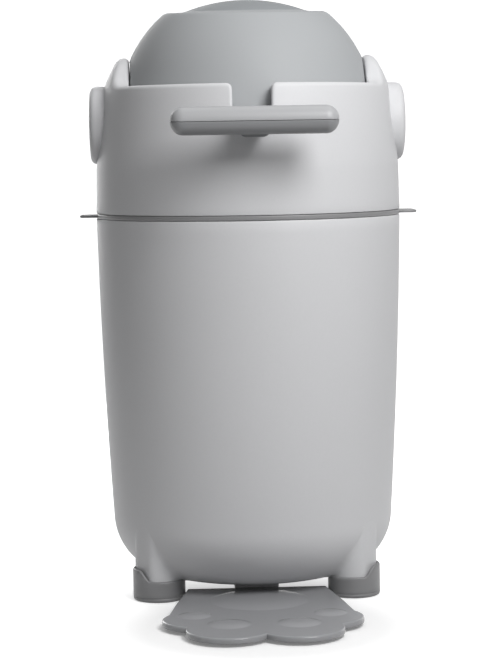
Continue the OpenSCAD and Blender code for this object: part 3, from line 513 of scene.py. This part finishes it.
def new_piece(name, bm, material, body, nodes, place, sharp=35):
    """Finishes a mesh that is built in millimetres and declares what it is to the frame."""
    mark_edges(bm)
    bmesh.ops.transform(bm, matrix=Matrix.Scale(MM, 4) @ place, verts=bm.verts)
    mesh = bpy.data.meshes.new(name)
    bm.to_mesh(mesh)
    bm.free()
    mesh.shade_smooth()
    mesh.set_sharp_from_angle(angle=math.radians(sharp))
    mesh.materials.append(material)
    piece = bpy.data.objects.new(name, mesh)
    bpy.context.scene.collection.objects.link(piece)
    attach(piece, body)
    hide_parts(*nodes)
    return piece


ON_AXIS = Matrix.Translation((0, AXIS_Y, 0))
IN_DRUM = Matrix.Translation((0, AXIS_Y, DRUM_Z)) @ Matrix.Rotation(REST_TILT, 4, "X")


# ---- head ----------------------------------------------------------------------------------------


def head_outer(z):
    """Radius of the head's outside at a height, up to an ear's top."""
    if z <= RIM_Z:
        t = (z - HEAD_Z) / (SHOULDER_Z - HEAD_Z)
        low = between(TUB_TOP, SHOULDER, min(t, 1.0))
        s = max(z - SHOULDER_Z, 0.0) / (RIM_Z - SHOULDER_Z)
        return low - (SHOULDER - RIM_RADIUS) * (s * s * RIM_CURVE + s * (1 - RIM_CURVE))
    t = (z - RIM_Z) / (EAR_TOP - RIM_Z)
    return between(RIM_RADIUS, EAR_RADIUS, t) + EAR_BOW * t * (1 - t)


def arch_height(y):
    """Height of an ear's arch, with its soft feet, at a distance from the drum's axis."""
    foot_z = RIM_Z + ARCH_FOOT
    foot_y = math.sqrt((ARCH + ARCH_FOOT) ** 2 - (foot_z - DRUM_Z) ** 2)
    y = abs(y)
    if y >= foot_y:
        return RIM_Z
    if y > foot_y * ARCH / (ARCH + ARCH_FOOT):
        return foot_z - math.sqrt(ARCH_FOOT ** 2 - (foot_y - y) ** 2)
    return DRUM_Z + math.sqrt(ARCH ** 2 - y * y)


def head_top(x, y):
    """Height of the rim or of an ear over a point of the plan."""
    edge = soft_step((abs(x) - EAR_FACE + 9) / 8)
    return between(RIM_Z, arch_height(y), edge)


def notch_stations(kind, floor):
    """Cuts at fixed distances from the middle, across a notch's floor and over its rounded corner."""
    half = NOTCH_WIDTH / 2
    stations = []
    for x in (0, 6, 11, 15, 16.6, 17.6, half):
        into = max(x - half + NOTCH_FILLET, 0)
        rise = NOTCH_FILLET - math.sqrt(max(NOTCH_FILLET ** 2 - into ** 2, 0))
        stations.append((kind, x, floor + rise))
    stations.append((kind + " foot", half, RIM_Z - NOTCH_CORNER))
    for t in (0, 0.04, 0.12, 0.25, 0.42, 0.65, 1):
        drop = NOTCH_CORNER - math.sqrt(NOTCH_CORNER ** 2 - (NOTCH_CORNER * (1 - t)) ** 2)
        stations.append((kind, half + NOTCH_CORNER * t, RIM_Z - drop))
    return stations


def head_stations():
    """Upright cuts through half the head, from the front notch's middle to the rear one's.

    Each is (kind, value, top): a cut at a fixed x through the front or the rear, or at an angle.
    A foot cut ends at the notch's floor, so that the notch's side wall stays flat.
    """
    corner = math.degrees(math.acos(EAR_FACE / LINER))
    angles = list(SIDE_ANGLES) + [-corner - 0.8, -corner] + [-corner + 1.6 * i for i in range(1, 16)] + [0]
    sides = [("angle", math.radians(a), None) for a in angles]
    sides += [("angle", -a, None) for _, a, _ in reversed(sides[:-1])]
    rear = notch_stations("rear", REAR_FLOOR)
    return notch_stations("front", FRONT_FLOOR) + sides + rear[::-1]


def plan_point(station, radius, mirrored):
    """Where a cut meets a circle of the radius, in plan."""
    kind, value, _ = station
    if kind == "angle":
        x, y = radius * math.cos(value), radius * math.sin(value)
    else:
        x = value
        y = math.sqrt(radius ** 2 - x * x) * (-1 if kind.startswith("front") else 1)
    return (-x if mirrored else x), y


def head_section(station, mirrored):
    """One closed cut through the head's walls: up the outside, over the top and down the inside."""
    kind, value, top = station
    floor = FRONT_FLOOR if kind.startswith("front") else REAR_FLOOR
    limit = floor + NOTCH_FILLET if kind.endswith("foot") else math.inf

    def at(radius, z):
        x, y = plan_point(station, radius, mirrored)
        return Vector((x, y, min(z, limit)))

    def over(radius):
        x, y = plan_point(station, radius, False)
        return head_top(x, y) if top is None else top

    outer_top = RIM_Z
    for _ in range(6):
        outer_top = over(head_outer(outer_top))
    inner = LINER if kind != "angle" else min(LINER, EAR_FACE / math.cos(value))
    ear = soft_step((outer_top - RIM_Z) / 12)
    outer_round = between(4.4, 5.4, ear)
    inner_round = between(3.0, 5.6, ear)
    pull = 0.0
    if kind != "angle":
        gone = min(max(value - NOTCH_WIDTH / 2, 0.0), NOTCH_EDGE)
        pull = NOTCH_EDGE - math.sqrt(NOTCH_EDGE ** 2 - (NOTCH_EDGE - gone) ** 2)
        if top < RIM_Z - 12:
            pull = 0.0
            outer_round = inner_round = NOTCH_FLOOR_ROUND

    def skin(z):
        return head_outer(z) - pull * soft_step((z - floor + 1) / 4)

    points = [at(TUB_TOP - 1.2, HEAD_Z), at(TUB_TOP - 0.3, HEAD_Z + 0.4), at(TUB_TOP, HEAD_Z + 1.4)]
    points += [at(skin(z), z) for z in HEAD_ROWS]
    start = outer_top - outer_round
    points += [at(skin(z), z) for z in (between(SPLIT_Z, start, i / 8) for i in range(1, 9))]
    edge = skin(outer_top)
    first = at(skin(start), start)
    last = at(edge - outer_round, over(edge - outer_round))
    points += soft_turn(first, at(edge, outer_top), last, 6)[1:]
    inner_top = over(inner)
    stop = inner + inner_round
    points += [at(r, over(r)) for r in (between(edge - outer_round, stop, i / 5) for i in range(1, 6))]
    drop = at(inner, inner_top - inner_round)
    points += soft_turn(at(stop, over(stop)), at(inner, inner_top), drop, 6)[1:]
    points += [at(inner, between(inner_top - inner_round, SPLIT_Z, i / 6)) for i in range(1, 7)]
    points += [at(inner, LINER_LOW + 0.8), at(inner + 0.8, LINER_LOW)]
    wall = inner + WALL
    ceiling = min(inner_top, outer_top) - WALL
    if kind != "angle" and value < NOTCH_WIDTH / 2 + WALL:
        ceiling = floor - WALL
    points += [at(wall, LINER_LOW), at(wall, SPLIT_Z), at(wall, max(ceiling - 3, SPLIT_Z)),
               at(wall + 0.5, ceiling)]
    points += [at(head_outer(ceiling) - WALL - 0.5, ceiling), at(head_outer(SPLIT_Z) - WALL, SPLIT_Z),
               at(SHOULDER - WALL, SHOULDER_Z), at(TUB_TOP - WALL, HEAD_Z)]
    return points + points[:1]


def knuckle(x, up):
    """A hinge knuckle with a web that runs up or down the wall in front of it."""
    bm = round_pin(KNUCKLE_WIDTH)
    bmesh.ops.translate(bm, verts=bm.verts, vec=(x, HINGE_Y, SEAM_Z))
    web = bmesh.new()
    reach = KNUCKLE * 0.86
    corners = [(WEB_ROOT, SEAM_Z + up * WEB_LENGTH), (HINGE_Y + reach, SEAM_Z - up * KNUCKLE * 0.4),
               (HINGE_Y - reach, SEAM_Z - up * KNUCKLE * 0.1), (WEB_ROOT, SEAM_Z + up * 3.5)]
    face = web.faces.new([web.verts.new((x - KNUCKLE_WIDTH / 2, y, z)) for y, z in corners])
    grown = bmesh.ops.extrude_face_region(web, geom=[face])["geom"]
    bmesh.ops.translate(web, verts=verts_of(grown), vec=(KNUCKLE_WIDTH, 0, 0))
    bmesh.ops.recalc_face_normals(web, faces=web.faces)
    for part in (bm, web):
        softened(part, sharp_edges(part, 0.9), KNUCKLE_ROUND)
    return added(bm, web)


def head_moulding():
    """The upper casing, from cuts all the way round, with its two knuckles."""
    half = head_stations()
    full = [(s, False) for s in half] + [(s, True) for s in reversed(half)]
    sections = [head_section(s, mirrored) for s, mirrored in full]
    sections.append(sections[0])
    bm = shaped_grid(len(sections) - 1, len(sections[0]) - 1, lambda i, j: sections[i][j])
    for side in (-1, 1):
        added(bm, knuckle(side * HEAD_KNUCKLE_X, 1))
    new_piece("head_moulding", bm, SHELL, "head", ["head_shell"], ON_AXIS)


# ---- tub, legs and boots -------------------------------------------------------------------------


def tub_side(inset):
    """The tub's side, from the rounded bottom's edge up to just under the rim, as half outline."""
    points = []
    for i in range(25):
        t = i / 24
        radius = between(TUB_LOW, TUB_TOP, t) + 4 * TUB_BOW * t * (1 - t)
        points.append(Vector((radius - inset, between(BOTTOM_EDGE_Z, TUB_RIM, t))))
    return points


def tub_bottom(inset):
    """The quarter round between the tub's flat underside and its side, as half outline."""
    middle = Vector((TUB_LOW - BOTTOM_ROUND, BOTTOM_EDGE_Z))
    turns = [math.radians(-90 + 90 * i / 30) for i in range(30)]
    return [middle + heading(a) * (BOTTOM_ROUND - inset) for a in turns]


def bottom_height(radius):
    """Height of the tub's outside over a point of the plan."""
    reach = min(max(radius - TUB_LOW + BOTTOM_ROUND, 0.0), BOTTOM_ROUND)
    return BOTTOM_EDGE_Z - math.sqrt(BOTTOM_ROUND ** 2 - reach ** 2)


def leg_reach(centre, way):
    """Distance from a leg's centre to its outside, which never passes the tub's side."""
    along = centre.dot(way)
    limit = -along + math.sqrt(along ** 2 - centre.length_squared + TUB_LOW ** 2)
    soft = 0.6
    return -soft * math.log(math.exp(-LEG / soft) + math.exp(-limit / soft))


def leg_skirt(side, end):
    """A leg whose side flows out into the tub's bottom, closed inside the tub's wall."""
    centre = Vector((side * LEG_X, end * LEG_Y))
    steps = 72
    straight = 3
    flared = 11

    def place(i, j):
        way = heading(math.tau * i / steps)
        out = leg_reach(centre, way)
        foot = centre + way * out
        top = bottom_height(foot.length)
        flare = LEG_FLARE * soft_step((BOTTOM_EDGE_Z - 4 - top) / 30)
        spread = centre + way * (out + flare)
        spread *= min(1.0, TUB_LOW / spread.length)
        edge = bottom_height(spread.length)
        low = max(top - LEG_FLARE, 12)
        inner = centre + way * (out - LEG_WALL)
        if j == 0:
            return Vector((*centre, BOOT_SOLE))
        if j <= straight:
            return Vector((*foot, between(BOOT_SOLE, low, (j - 1) / (straight - 1))))
        if j < flared:
            t = (j - straight) / (flared - straight)
            flat = foot * (1 - t * t) + spread * t * t
            return Vector((*flat, low * (1 - t) ** 2 + 2 * t * (1 - t) * top + edge * t * t))
        last = [(*spread, edge + 0.25), (*inner, edge + 1.5), (*inner, BOOT_SOLE + LEG_WALL),
                (*centre, BOOT_SOLE + LEG_WALL)]
        return Vector(last[j - flared])

    return shaped_grid(steps, flared + 3, place)


def tub_moulding():
    """The tub with its lip, its four legs and its two knuckles."""
    lip = [(TUB_TOP, TUB_RIM - 1.2), (TUB_TOP - 0.4, TUB_RIM - 0.3), (TUB_TOP - 1.3, TUB_RIM)]
    lip += [(TUB_TOP - WALL + 1, TUB_RIM), (TUB_TOP - WALL, TUB_RIM - 1)]
    outside = [(0.0, UNDERSIDE)] + tub_bottom(0) + tub_side(0)[:-1]
    inside = [(0.0, UNDERSIDE + WALL)] + tub_bottom(WALL) + tub_side(WALL)[:-1]
    bm = spun(outside + lip + inside[::-1], 192, closed=False)
    for side in (-1, 1):
        for end in (-1, 1):
            added(bm, leg_skirt(side, end))
        added(bm, knuckle(side * TUB_KNUCKLE_X, -1))
    new_piece("tub_moulding", bm, SHELL, "bin", ["bin_body"], ON_AXIS, sharp=50)


def boot_cup(name, side, end):
    """A moulded cup on a leg, high on its outer side and low at the front, with a soft lip."""
    centre = Vector((side * LEG_X, end * LEG_Y))
    inner = BOOT - BOOT_WALL

    def height(point, out):
        rise = soft_wave((side * out.x - BOOT_SLOPE[0]) / (BOOT_SLOPE[1] - BOOT_SLOPE[0]))
        free = between(BOOT_LOW, BOOT_HIGH, rise)
        return min(free, bottom_height(point.length) - 0.4)

    def place(i, j):
        way = heading(math.tau * i / 96)
        out = way * BOOT
        top = height(centre + out, out)
        rows = [(0, 0), (BOOT - 6, 0), (BOOT - 3.2, 0), (BOOT - 1.6, 0.25), (BOOT - 0.5, 1.0),
                (BOOT, 2.6), (BOOT, 3.4), (BOOT - 0.5, 3.8), (BOOT - 0.5, 4.2), (BOOT, 4.7)]
        rows += [(BOOT, between(4.7, top - BOOT_BEAD, k / 6)) for k in range(1, 7)]
        rows += [(BOOT - 0.25, top - BOOT_BEAD * 0.5), (BOOT - 0.8, top - BOOT_BEAD * 0.12),
                 (BOOT - BOOT_BEAD, top), (inner + 0.7, top), (inner + 0.1, top - 0.5), (inner, top - 1.2)]
        rows += [(inner, BOOT_SOLE), (0, BOOT_SOLE)]
        radius, z = rows[j]
        return Vector((*(centre + way * radius), z))

    bm = shaped_grid(96, 23, place)
    new_piece(name + "_cup", bm, BOOT_FINISH, "bin", [name], ON_AXIS, sharp=60)


def boots():
    """A cup on each of the four legs."""
    for end_name, end in (("front", -1), ("rear", 1)):
        for side_name, side in (("left", -1), ("right", 1)):
            boot_cup(f"{end_name}_{side_name}_boot", side, end)


# ---- foot plate ----------------------------------------------------------------------------------


def plate_reach(angle):
    """Distance from the plate's middle to its outline in one direction."""
    middle = Vector(PLATE_MIDDLE)
    way = heading(angle)
    best = 0.0
    loops = [PLATE_SIDE + [(-x, y) for x, y in reversed(PLATE_SIDE)], TONGUE]
    for loop in loops:
        for p, q in zip(loop, loop[1:] + loop[:1]):
            p, edge = Vector(p) - middle, Vector(q) - Vector(p)
            cross = way.x * edge.y - way.y * edge.x
            if abs(cross) < 1e-9:
                continue
            reach = (p.x * edge.y - p.y * edge.x) / cross
            along = (p.x * way.y - p.y * way.x) / cross
            if -1e-6 <= along <= 1 + 1e-6:
                best = max(best, reach)
    for x, y, radius in TOES:
        for side in (-1, 1):
            away = Vector((side * x, y)) - middle
            along = away.dot(way)
            inside = along * along - away.length_squared + radius * radius
            if inside > 0:
                best = max(best, along + math.sqrt(inside))
    return best


def plate_angles():
    """Directions to the outline's points, with its corners and cusps hit exactly."""
    angles = [math.tau * i / 420 for i in range(420)]
    middle = Vector(PLATE_MIDDLE)
    for x, y in PLATE_SIDE[:2] + [TONGUE[0], (TONGUE_SIDE, PLATE_SIDE[0][1])]:
        for side in (-1, 1):
            away = Vector((side * x, y)) - middle
            angles.append(math.atan2(away.y, away.x) % math.tau)
    return sorted(set(angles))


def mound_rise(x, y):
    """How far the plate's top is raised at a point of the plan, by a mound with a clear edge."""
    rise = 0.0
    for cx, cy, radius in MOUNDS:
        for side in (-1, 1):
            away = (Vector((x, y)) - Vector((side * cx, cy))).length / radius
            rise = max(rise, MOUND_RISE * (1 - away ** MOUND_FULLNESS))
    return rise


def foot_plate_moulding():
    """The paw, from its middle out over the soft edge and a little way in under it."""
    angles = plate_angles()
    reaches = [plate_reach(a) for a in angles]
    across = len(angles)
    rows = 120
    rim = [(PLATE_ROUND * (1 - math.sin(a)), PLATE_TOP - PLATE_ROUND * (1 - math.cos(a)))
           for a in (math.radians(15 * i) for i in range(1, 7))]
    rim += [(0.0, PLATE_LOW + 1.0), (0.3, PLATE_LOW + 0.3), (1.0, PLATE_LOW), (12.0, PLATE_LOW)]

    def place(i, j):
        i %= across
        way = heading(angles[i])
        middle = Vector(PLATE_MIDDLE)
        if j <= rows:
            point = middle + way * (reaches[i] - PLATE_ROUND) * j / rows
            return Vector((*point, PLATE_TOP + mound_rise(*point)))
        if j <= rows + len(rim):
            inward, z = rim[j - rows - 1]
            return Vector((*(middle + way * (reaches[i] - inward)), z))
        return Vector((*middle, PLATE_LOW))

    bm = shaped_grid(across, rows + len(rim) + 1, place)
    new_piece("foot_plate_moulding", bm, PLATE, "bin", ["foot_plate"], ON_AXIS, sharp=50)


# ---- bag ring ------------------------------------------------------------------------------------


def slab(outline, low, high, soft):
    """A flat outline made thick from low to high, with softened edges."""
    bm = bmesh.new()
    face = bm.faces.new([bm.verts.new((p[0], p[1], low)) for p in outline])
    grown = bmesh.ops.extrude_face_region(bm, geom=[face])["geom"]
    bmesh.ops.translate(bm, verts=verts_of(grown), vec=(0, 0, high - low))
    bmesh.ops.recalc_face_normals(bm, faces=bm.faces)
    softened(bm, sharp_edges(bm, 1.2), soft, 3)
    return bm


def bag_ring_moulding():
    """The flat ring with a skirt inside the tub, a tab at each side and its knuckle."""
    skirt = TUB_TOP - 7
    skirt_low = RING_LOW - RING_SKIRT
    outline = rounded_outline([
        (RING_OPENING, RING_LOW, 1.2), (skirt, RING_LOW, 0.3), (skirt, skirt_low, 0.8),
        (skirt + 2.5, skirt_low, 0.8), (skirt + 2.5, RING_LOW, 0.3), (TUB_TOP, RING_LOW, 1.3),
        (TUB_TOP, RING_HIGH, 1.3), (RING_OPENING, RING_HIGH, 1.6)])
    bm = spun(outline, 192)
    tab = rounded_outline([(TAB_ROOT, -TAB_SIDE, 0.5), (TAB_REACH, -TAB_SIDE, 6), (TAB_REACH, TAB_SIDE, 6),
                           (TAB_ROOT, TAB_SIDE, 0.5)], 8)
    for side in (-1, 1):
        added(bm, slab([(side * p.x, p.y) for p in tab], SEAM_Z - TAB_HALF, SEAM_Z + TAB_HALF, 1.1))
    added(bm, knuckle_plate())
    new_piece("bag_ring_moulding", bm, RING, "ring", ["bag_ring"], ON_AXIS)


def knuckle_plate():
    """The ring's own knuckle, on a flat arm that reaches back from it."""
    bm = round_pin(RING_KNUCKLE_WIDTH)
    softened(bm, sharp_edges(bm, 0.9), KNUCKLE_ROUND)
    bmesh.ops.translate(bm, verts=bm.verts, vec=(0, HINGE_Y, SEAM_Z))
    half = RING_KNUCKLE_WIDTH / 2
    arm = [(-half, RING_ARM_ROOT), (half, RING_ARM_ROOT), (half, HINGE_Y), (-half, HINGE_Y)]
    return added(bm, slab(arm, RING_LOW, RING_HIGH, KNUCKLE_ROUND))


# ---- drum ----------------------------------------------------------------------------------------


def drum_skin():
    """The ball's outside with its flat ends, open at both chute rims, and with its flat sides."""
    up = DRUM_FLAT - DRUM_EDGE
    middle = Vector((math.sqrt((BALL - DRUM_EDGE) ** 2 - up ** 2), up))
    lean = math.atan2(middle.y, middle.x)
    quarter = [heading(lean * i / 28) * BALL for i in range(28)]
    quarter += [middle + heading(between(lean, math.pi / 2, i / 12)) * DRUM_EDGE for i in range(13)]
    quarter += [Vector((RIM_FLANGE + 0.6, DRUM_FLAT)), Vector((RIM_FLANGE + 0.15, DRUM_FLAT - 0.4)),
                Vector((RIM_FLANGE + 0.1, DRUM_FLAT - 3))]
    lower = [Vector((p.x, -p.y)) for p in reversed(quarter)]
    bm = spun(lower + quarter[1:], 208, closed=False)
    for side in (-1, 1):
        closed_cut(bm, (side * DRUM_SIDE, 0, 0), (side, 0, 0), DRUM_SIDE_EDGE, 4, clear_outer=True)
    return joined(bm)


def drum_half(name, side, node):
    """One half of the ball, up to the seam between the halves, with the wall's thickness."""
    bm = drum_skin()
    halved(bm, (0, 0, side * DRUM_PARTING), (0, 0, side), clear_inner=True)
    bm.normal_update()
    if sum(f.normal.dot(f.calc_center_median()) for f in bm.faces) < 0:
        bmesh.ops.reverse_faces(bm, faces=bm.faces)
    piece = new_piece(name, bm, DRUM, "drum", [node], IN_DRUM, sharp=45)
    wall = piece.modifiers.new("wall", "SOLIDIFY")
    wall.thickness = WALL * MM
    wall.offset = -1


def piston_cap(name, node, turned):
    """The domed disc that fills a chute rim, with the ring groove under it."""
    dome_low = DRUM_FLAT + SWELL
    middle = dome_low - math.sqrt(DOME ** 2 - NECK_RADIUS ** 2)
    lean = math.asin(NECK_RADIUS / DOME)
    outer = [Vector((math.sin(a), math.cos(a))) * DOME + Vector((0, middle))
             for a in (lean * i / 40 for i in range(40))]
    outer += [Vector((NECK_RADIUS - 0.1, dome_low - 0.1)), Vector((NECK_RADIUS, dome_low - 0.5))]
    low = PISTON_MID + 0.1
    outer += [Vector(p) for p in (
        (NECK_RADIUS, PISTON_TOP), (PISTON - 0.6, PISTON_TOP), (PISTON, PISTON_TOP - 0.6),
        (PISTON, GROOVE + 3), (PISTON - 2, GROOVE + 3), (PISTON - 2, GROOVE), (PISTON, GROOVE),
        (PISTON, low), (PISTON - 4, low), (PISTON - 4, PISTON_TOP - 3), (NECK_RADIUS - 3, PISTON_TOP - 3))]
    inner = [Vector((math.sin(a), math.cos(a))) * (DOME - 3) + Vector((0, middle))
             for a in (lean * 0.93 * (10 - i) / 10 for i in range(11))]
    bm = spun(outer + inner, 160, closed=False)
    if turned:
        bmesh.ops.translate(bm, verts=bm.verts, vec=(0, 0, -2 * PISTON_MID))
        bmesh.ops.rotate(bm, verts=bm.verts, matrix=Matrix.Rotation(math.pi, 3, "X"))
    new_piece(name, bm, PISTON_FINISH, "piston", [node], IN_DRUM, sharp=50)


# ---- handle --------------------------------------------------------------------------------------


def grip_bar():
    """The bar, with ends slightly blunter than half balls."""
    half = BAR_LENGTH / 2
    steps = 64

    def place(i, j):
        along = -math.cos(math.pi * j / steps)
        reach = (1 - abs(along) ** 2.25) ** 0.5 if abs(along) < 1 else 0.0
        x = 0.0 if 2 * j == steps else math.copysign(half - BAR + BAR * abs(along), along)
        out = heading(math.tau * i / steps) * BAR * reach
        return Vector((x, out.x - BAR_REACH, out.y))

    return shaped_grid(steps, steps, place)


def handle_neck():
    """The arm from the drum to the bar, which widens softly into the bar."""
    half = NECK_WIDTH / 2
    corners = [(-half, -NECK_LOW), (half, -NECK_LOW), (half, NECK_HIGH), (-half, NECK_HIGH)]
    outline = rounded_outline([(x, z, NECK_ROUND) for x, z in corners], 8)
    outline.append(outline[0])
    steps = 30

    def place(i, j):
        if j in (0, steps + 2):
            return Vector((0, -(NECK_START if j == 0 else BAR_REACH), 0))
        t = (j - 1) / steps
        y = between(NECK_START, BAR_REACH, t)
        near = min(max(1 - (BAR_REACH - BAR * 0.75 - y) / 20, 0), 1.0)
        point = outline[i]
        wide = point.x * (1 + 0.1 * near ** 2.2)
        high = point.y + (1.5 if point.y > 0 else -NECK_DIP) * near ** 1.5 * abs(point.y) / NECK_LOW
        return Vector((wide, -y, high))

    return shaped_grid(len(outline) - 1, steps + 2, place)


def handle_half(name, node, side, finish):
    """The upper or the lower shell of bar and neck, up to the seam between them, in the finish given: a
    lighter copy of the handle's plastic as painted light above, a darker copy as painted shade below.
    """
    halves = []
    for part in (grip_bar(), handle_neck()):
        closed_cut(part, (0, 0, side * SEAM), (0, 0, side), 0.5, 2, clear_inner=True)
        halves.append(part)
    bm = joined(added(*halves))
    new_piece(name, bm, finish, "drum", [node], IN_DRUM, sharp=45)


# ---- pivot covers --------------------------------------------------------------------------------


def pivot_cover(name, side):
    """A round cap whose face bulges a little and whose edge is soft."""
    depth = COVER_FACE - COVER_BACK
    ball = (COVER ** 2 + COVER_BULGE ** 2) / (2 * COVER_BULGE)
    face = [Vector((ball * math.sin(a), depth + COVER_BULGE - ball * (1 - math.cos(a))))
            for a in ((COVER - COVER_EDGE) / ball * i / 16 for i in range(17))]
    corner = Vector((COVER, depth - 0.2))
    edge = soft_turn(face[-1], corner, Vector((COVER, depth - COVER_EDGE)), 10)[1:]
    inner = COVER - WALL
    ceiling = depth - WALL
    back = [Vector(p) for p in ((COVER, 0.4), (COVER - 0.4, 0.0), (inner, 0.0), (inner, ceiling - 2),
                                (inner - 2, ceiling), (0.0, ceiling))]
    bm = spun(face + edge + back, 128, closed=False)
    turn = Matrix.Translation((0, AXIS_Y, COVER_Z)) @ Matrix.Rotation(side * math.pi / 2, 4, "Y")
    new_piece(name + "_cap", bm, SHELL, "head", [name],
              turn @ Matrix.Translation((0, 0, COVER_BACK)), sharp=60)


# ---- studio --------------------------------------------------------------------------------------


def seen_or_reflected(tree):
    """1 for rays from the camera and for glossy reflections, 0 for the light that things scatter."""
    path = tree.nodes.new("ShaderNodeLightPath")
    return linked(tree, "ShaderNodeMath", {
        0: path.outputs["Is Camera Ray"], 1: path.outputs["Is Glossy Ray"]}, operation="MAXIMUM").outputs[0]


def set_floor():
    """Pale paper that runs up behind the object, bright in the picture but a dim source of light; its glow
    paints light into the shade under the tub.
    """
    bm = bmesh.new()
    bmesh.ops.create_grid(bm, x_segments=1, y_segments=24, size=4.0)
    for v in bm.verts:
        past = v.co.y - CURVE_START
        if past > 0:
            turn = min(past / CURVE_RADIUS, 1.0) * math.pi / 2
            rise = CURVE_RADIUS * (1 - math.cos(turn)) + max(past - CURVE_RADIUS, 0.0)
            v.co = Vector((v.co.x, CURVE_START + CURVE_RADIUS * math.sin(turn), rise))
    mesh = bpy.data.meshes.new("studio_floor")
    bm.to_mesh(mesh)
    bm.free()
    mesh.shade_smooth()
    floor = bpy.data.objects.new("studio_floor", mesh)
    bpy.context.scene.collection.objects.link(floor)
    material = bpy.data.materials.new("studio_paper")
    material.use_nodes = True
    tree = material.node_tree
    shader = tree.nodes["Principled BSDF"]
    seen = seen_or_reflected(tree)
    place = tree.nodes.new("ShaderNodeTexCoord").outputs["Object"]
    away = linked(tree, "ShaderNodeVectorMath", {0: place, 1: (0, -0.15, 0)}, operation="DISTANCE")
    bounce = linked(tree, "ShaderNodeMapRange", {
        "Value": away.outputs["Value"], "From Min": 0.3, "From Max": 0.9, "To Min": PAPER_NEAR,
        "To Max": PAPER_FAR})
    paper = linked(tree, "ShaderNodeMix", {
        "Factor": seen, "A": bounce.outputs["Result"], "B": (0.92, 0.92, 0.92, 1)}, data_type="RGBA")
    # Glow for the camera and for reflections: painted light, dim by the foot plate and full under the tub,
    # in its shade, and on the backdrop.
    level = linked(tree, "ShaderNodeMapRange", {
        "Value": away.outputs["Value"], "From Min": 0.11, "From Max": 0.26, "To Min": PAPER_GLOW,
        "To Max": BACKDROP_GLOW_AND_PAINTED_LIGHT})
    glow = linked(tree, "ShaderNodeMath", {0: seen, 1: level.outputs["Result"]}, operation="MULTIPLY")
    tree.links.new(paper.outputs["Result"], shader.inputs["Base Color"])
    tree.links.new(glow.outputs[0], shader.inputs["Emission Strength"])
    behind = tree.nodes.new("ShaderNodeNewGeometry").outputs["Backfacing"]
    shown = linked(tree, "ShaderNodeMath", {0: 1.0, 1: behind}, operation="SUBTRACT")
    tree.links.new(shown.outputs[0], shader.inputs["Alpha"])
    shader.inputs["Emission Color"].default_value = (1, 1, 1, 1)
    shader.inputs["Roughness"].default_value = 0.9
    shader.inputs["Specular IOR Level"].default_value = 0.1
    mesh.materials.append(material)


def set_air():
    """An even white surround that lights the shadows only a little."""
    world = bpy.data.worlds.new("studio_air")
    bpy.context.scene.world = world
    world.use_nodes = True
    tree = world.node_tree
    air = tree.nodes["Background"]
    seen = tree.nodes.new("ShaderNodeLightPath").outputs["Is Camera Ray"]
    strength = linked(tree, "ShaderNodeMapRange", {"Value": seen, "To Min": AIR_FILL, "To Max": 1.0})
    tree.links.new(strength.outputs["Result"], air.inputs["Strength"])
    air.inputs["Color"].default_value = (1, 1, 1, 1)


def softbox(name, place, target, width, height, watts):
    """A soft rectangular lamp that points at the target."""
    data = bpy.data.lights.new(name, "AREA")
    data.shape = "RECTANGLE"
    data.size = width
    data.size_y = height
    data.energy = watts
    light = bpy.data.objects.new(name, data)
    bpy.context.scene.collection.objects.link(light)
    light.location = place
    light.rotation_mode = "QUATERNION"
    light.rotation_quaternion = (Vector(target) - Vector(place)).to_track_quat("-Z", "Y")
    light.visible_camera = False


def set_lights():
    """A key lamp from the front right, a weak one overhead and one for the back."""
    bpy.context.scene.view_settings.view_transform = "Standard"
    softbox("key_softbox", (0.46, -0.79, 1.06), (0, 0, 0.36), 0.5, 0.6, 11.2)
    softbox("top_softbox", (0.1, 0.45, 1.9), (0, 0, 0.2), 1.2, 1.0, 4)
    softbox("rear_softbox", (-0.5, 1.45, 0.7), (0, 0, 0.3), 0.9, 0.9, 9)


set_camera()
dress_nodes()
head_moulding()
tub_moulding()
boots()
foot_plate_moulding()
bag_ring_moulding()
drum_half("drum_top", 1, "drum_upper_half")
drum_half("drum_base", -1, "drum_lower_half")
piston_cap("upper_piston_dome", "upper_piston_cap", False)
piston_cap("lower_piston_dome", "lower_piston_cap", True)
handle_half("handle_upper_shell", "handle_top", 1, HANDLE_UPPER_PAINTED_LIGHT)
handle_half("handle_lower_shell", "handle_bottom", -1, HANDLE_LOWER_PAINTED_SHADE)
pivot_cover("left_pivot_cover", -1)
pivot_cover("right_pivot_cover", 1)
set_floor()
set_air()
set_lights()
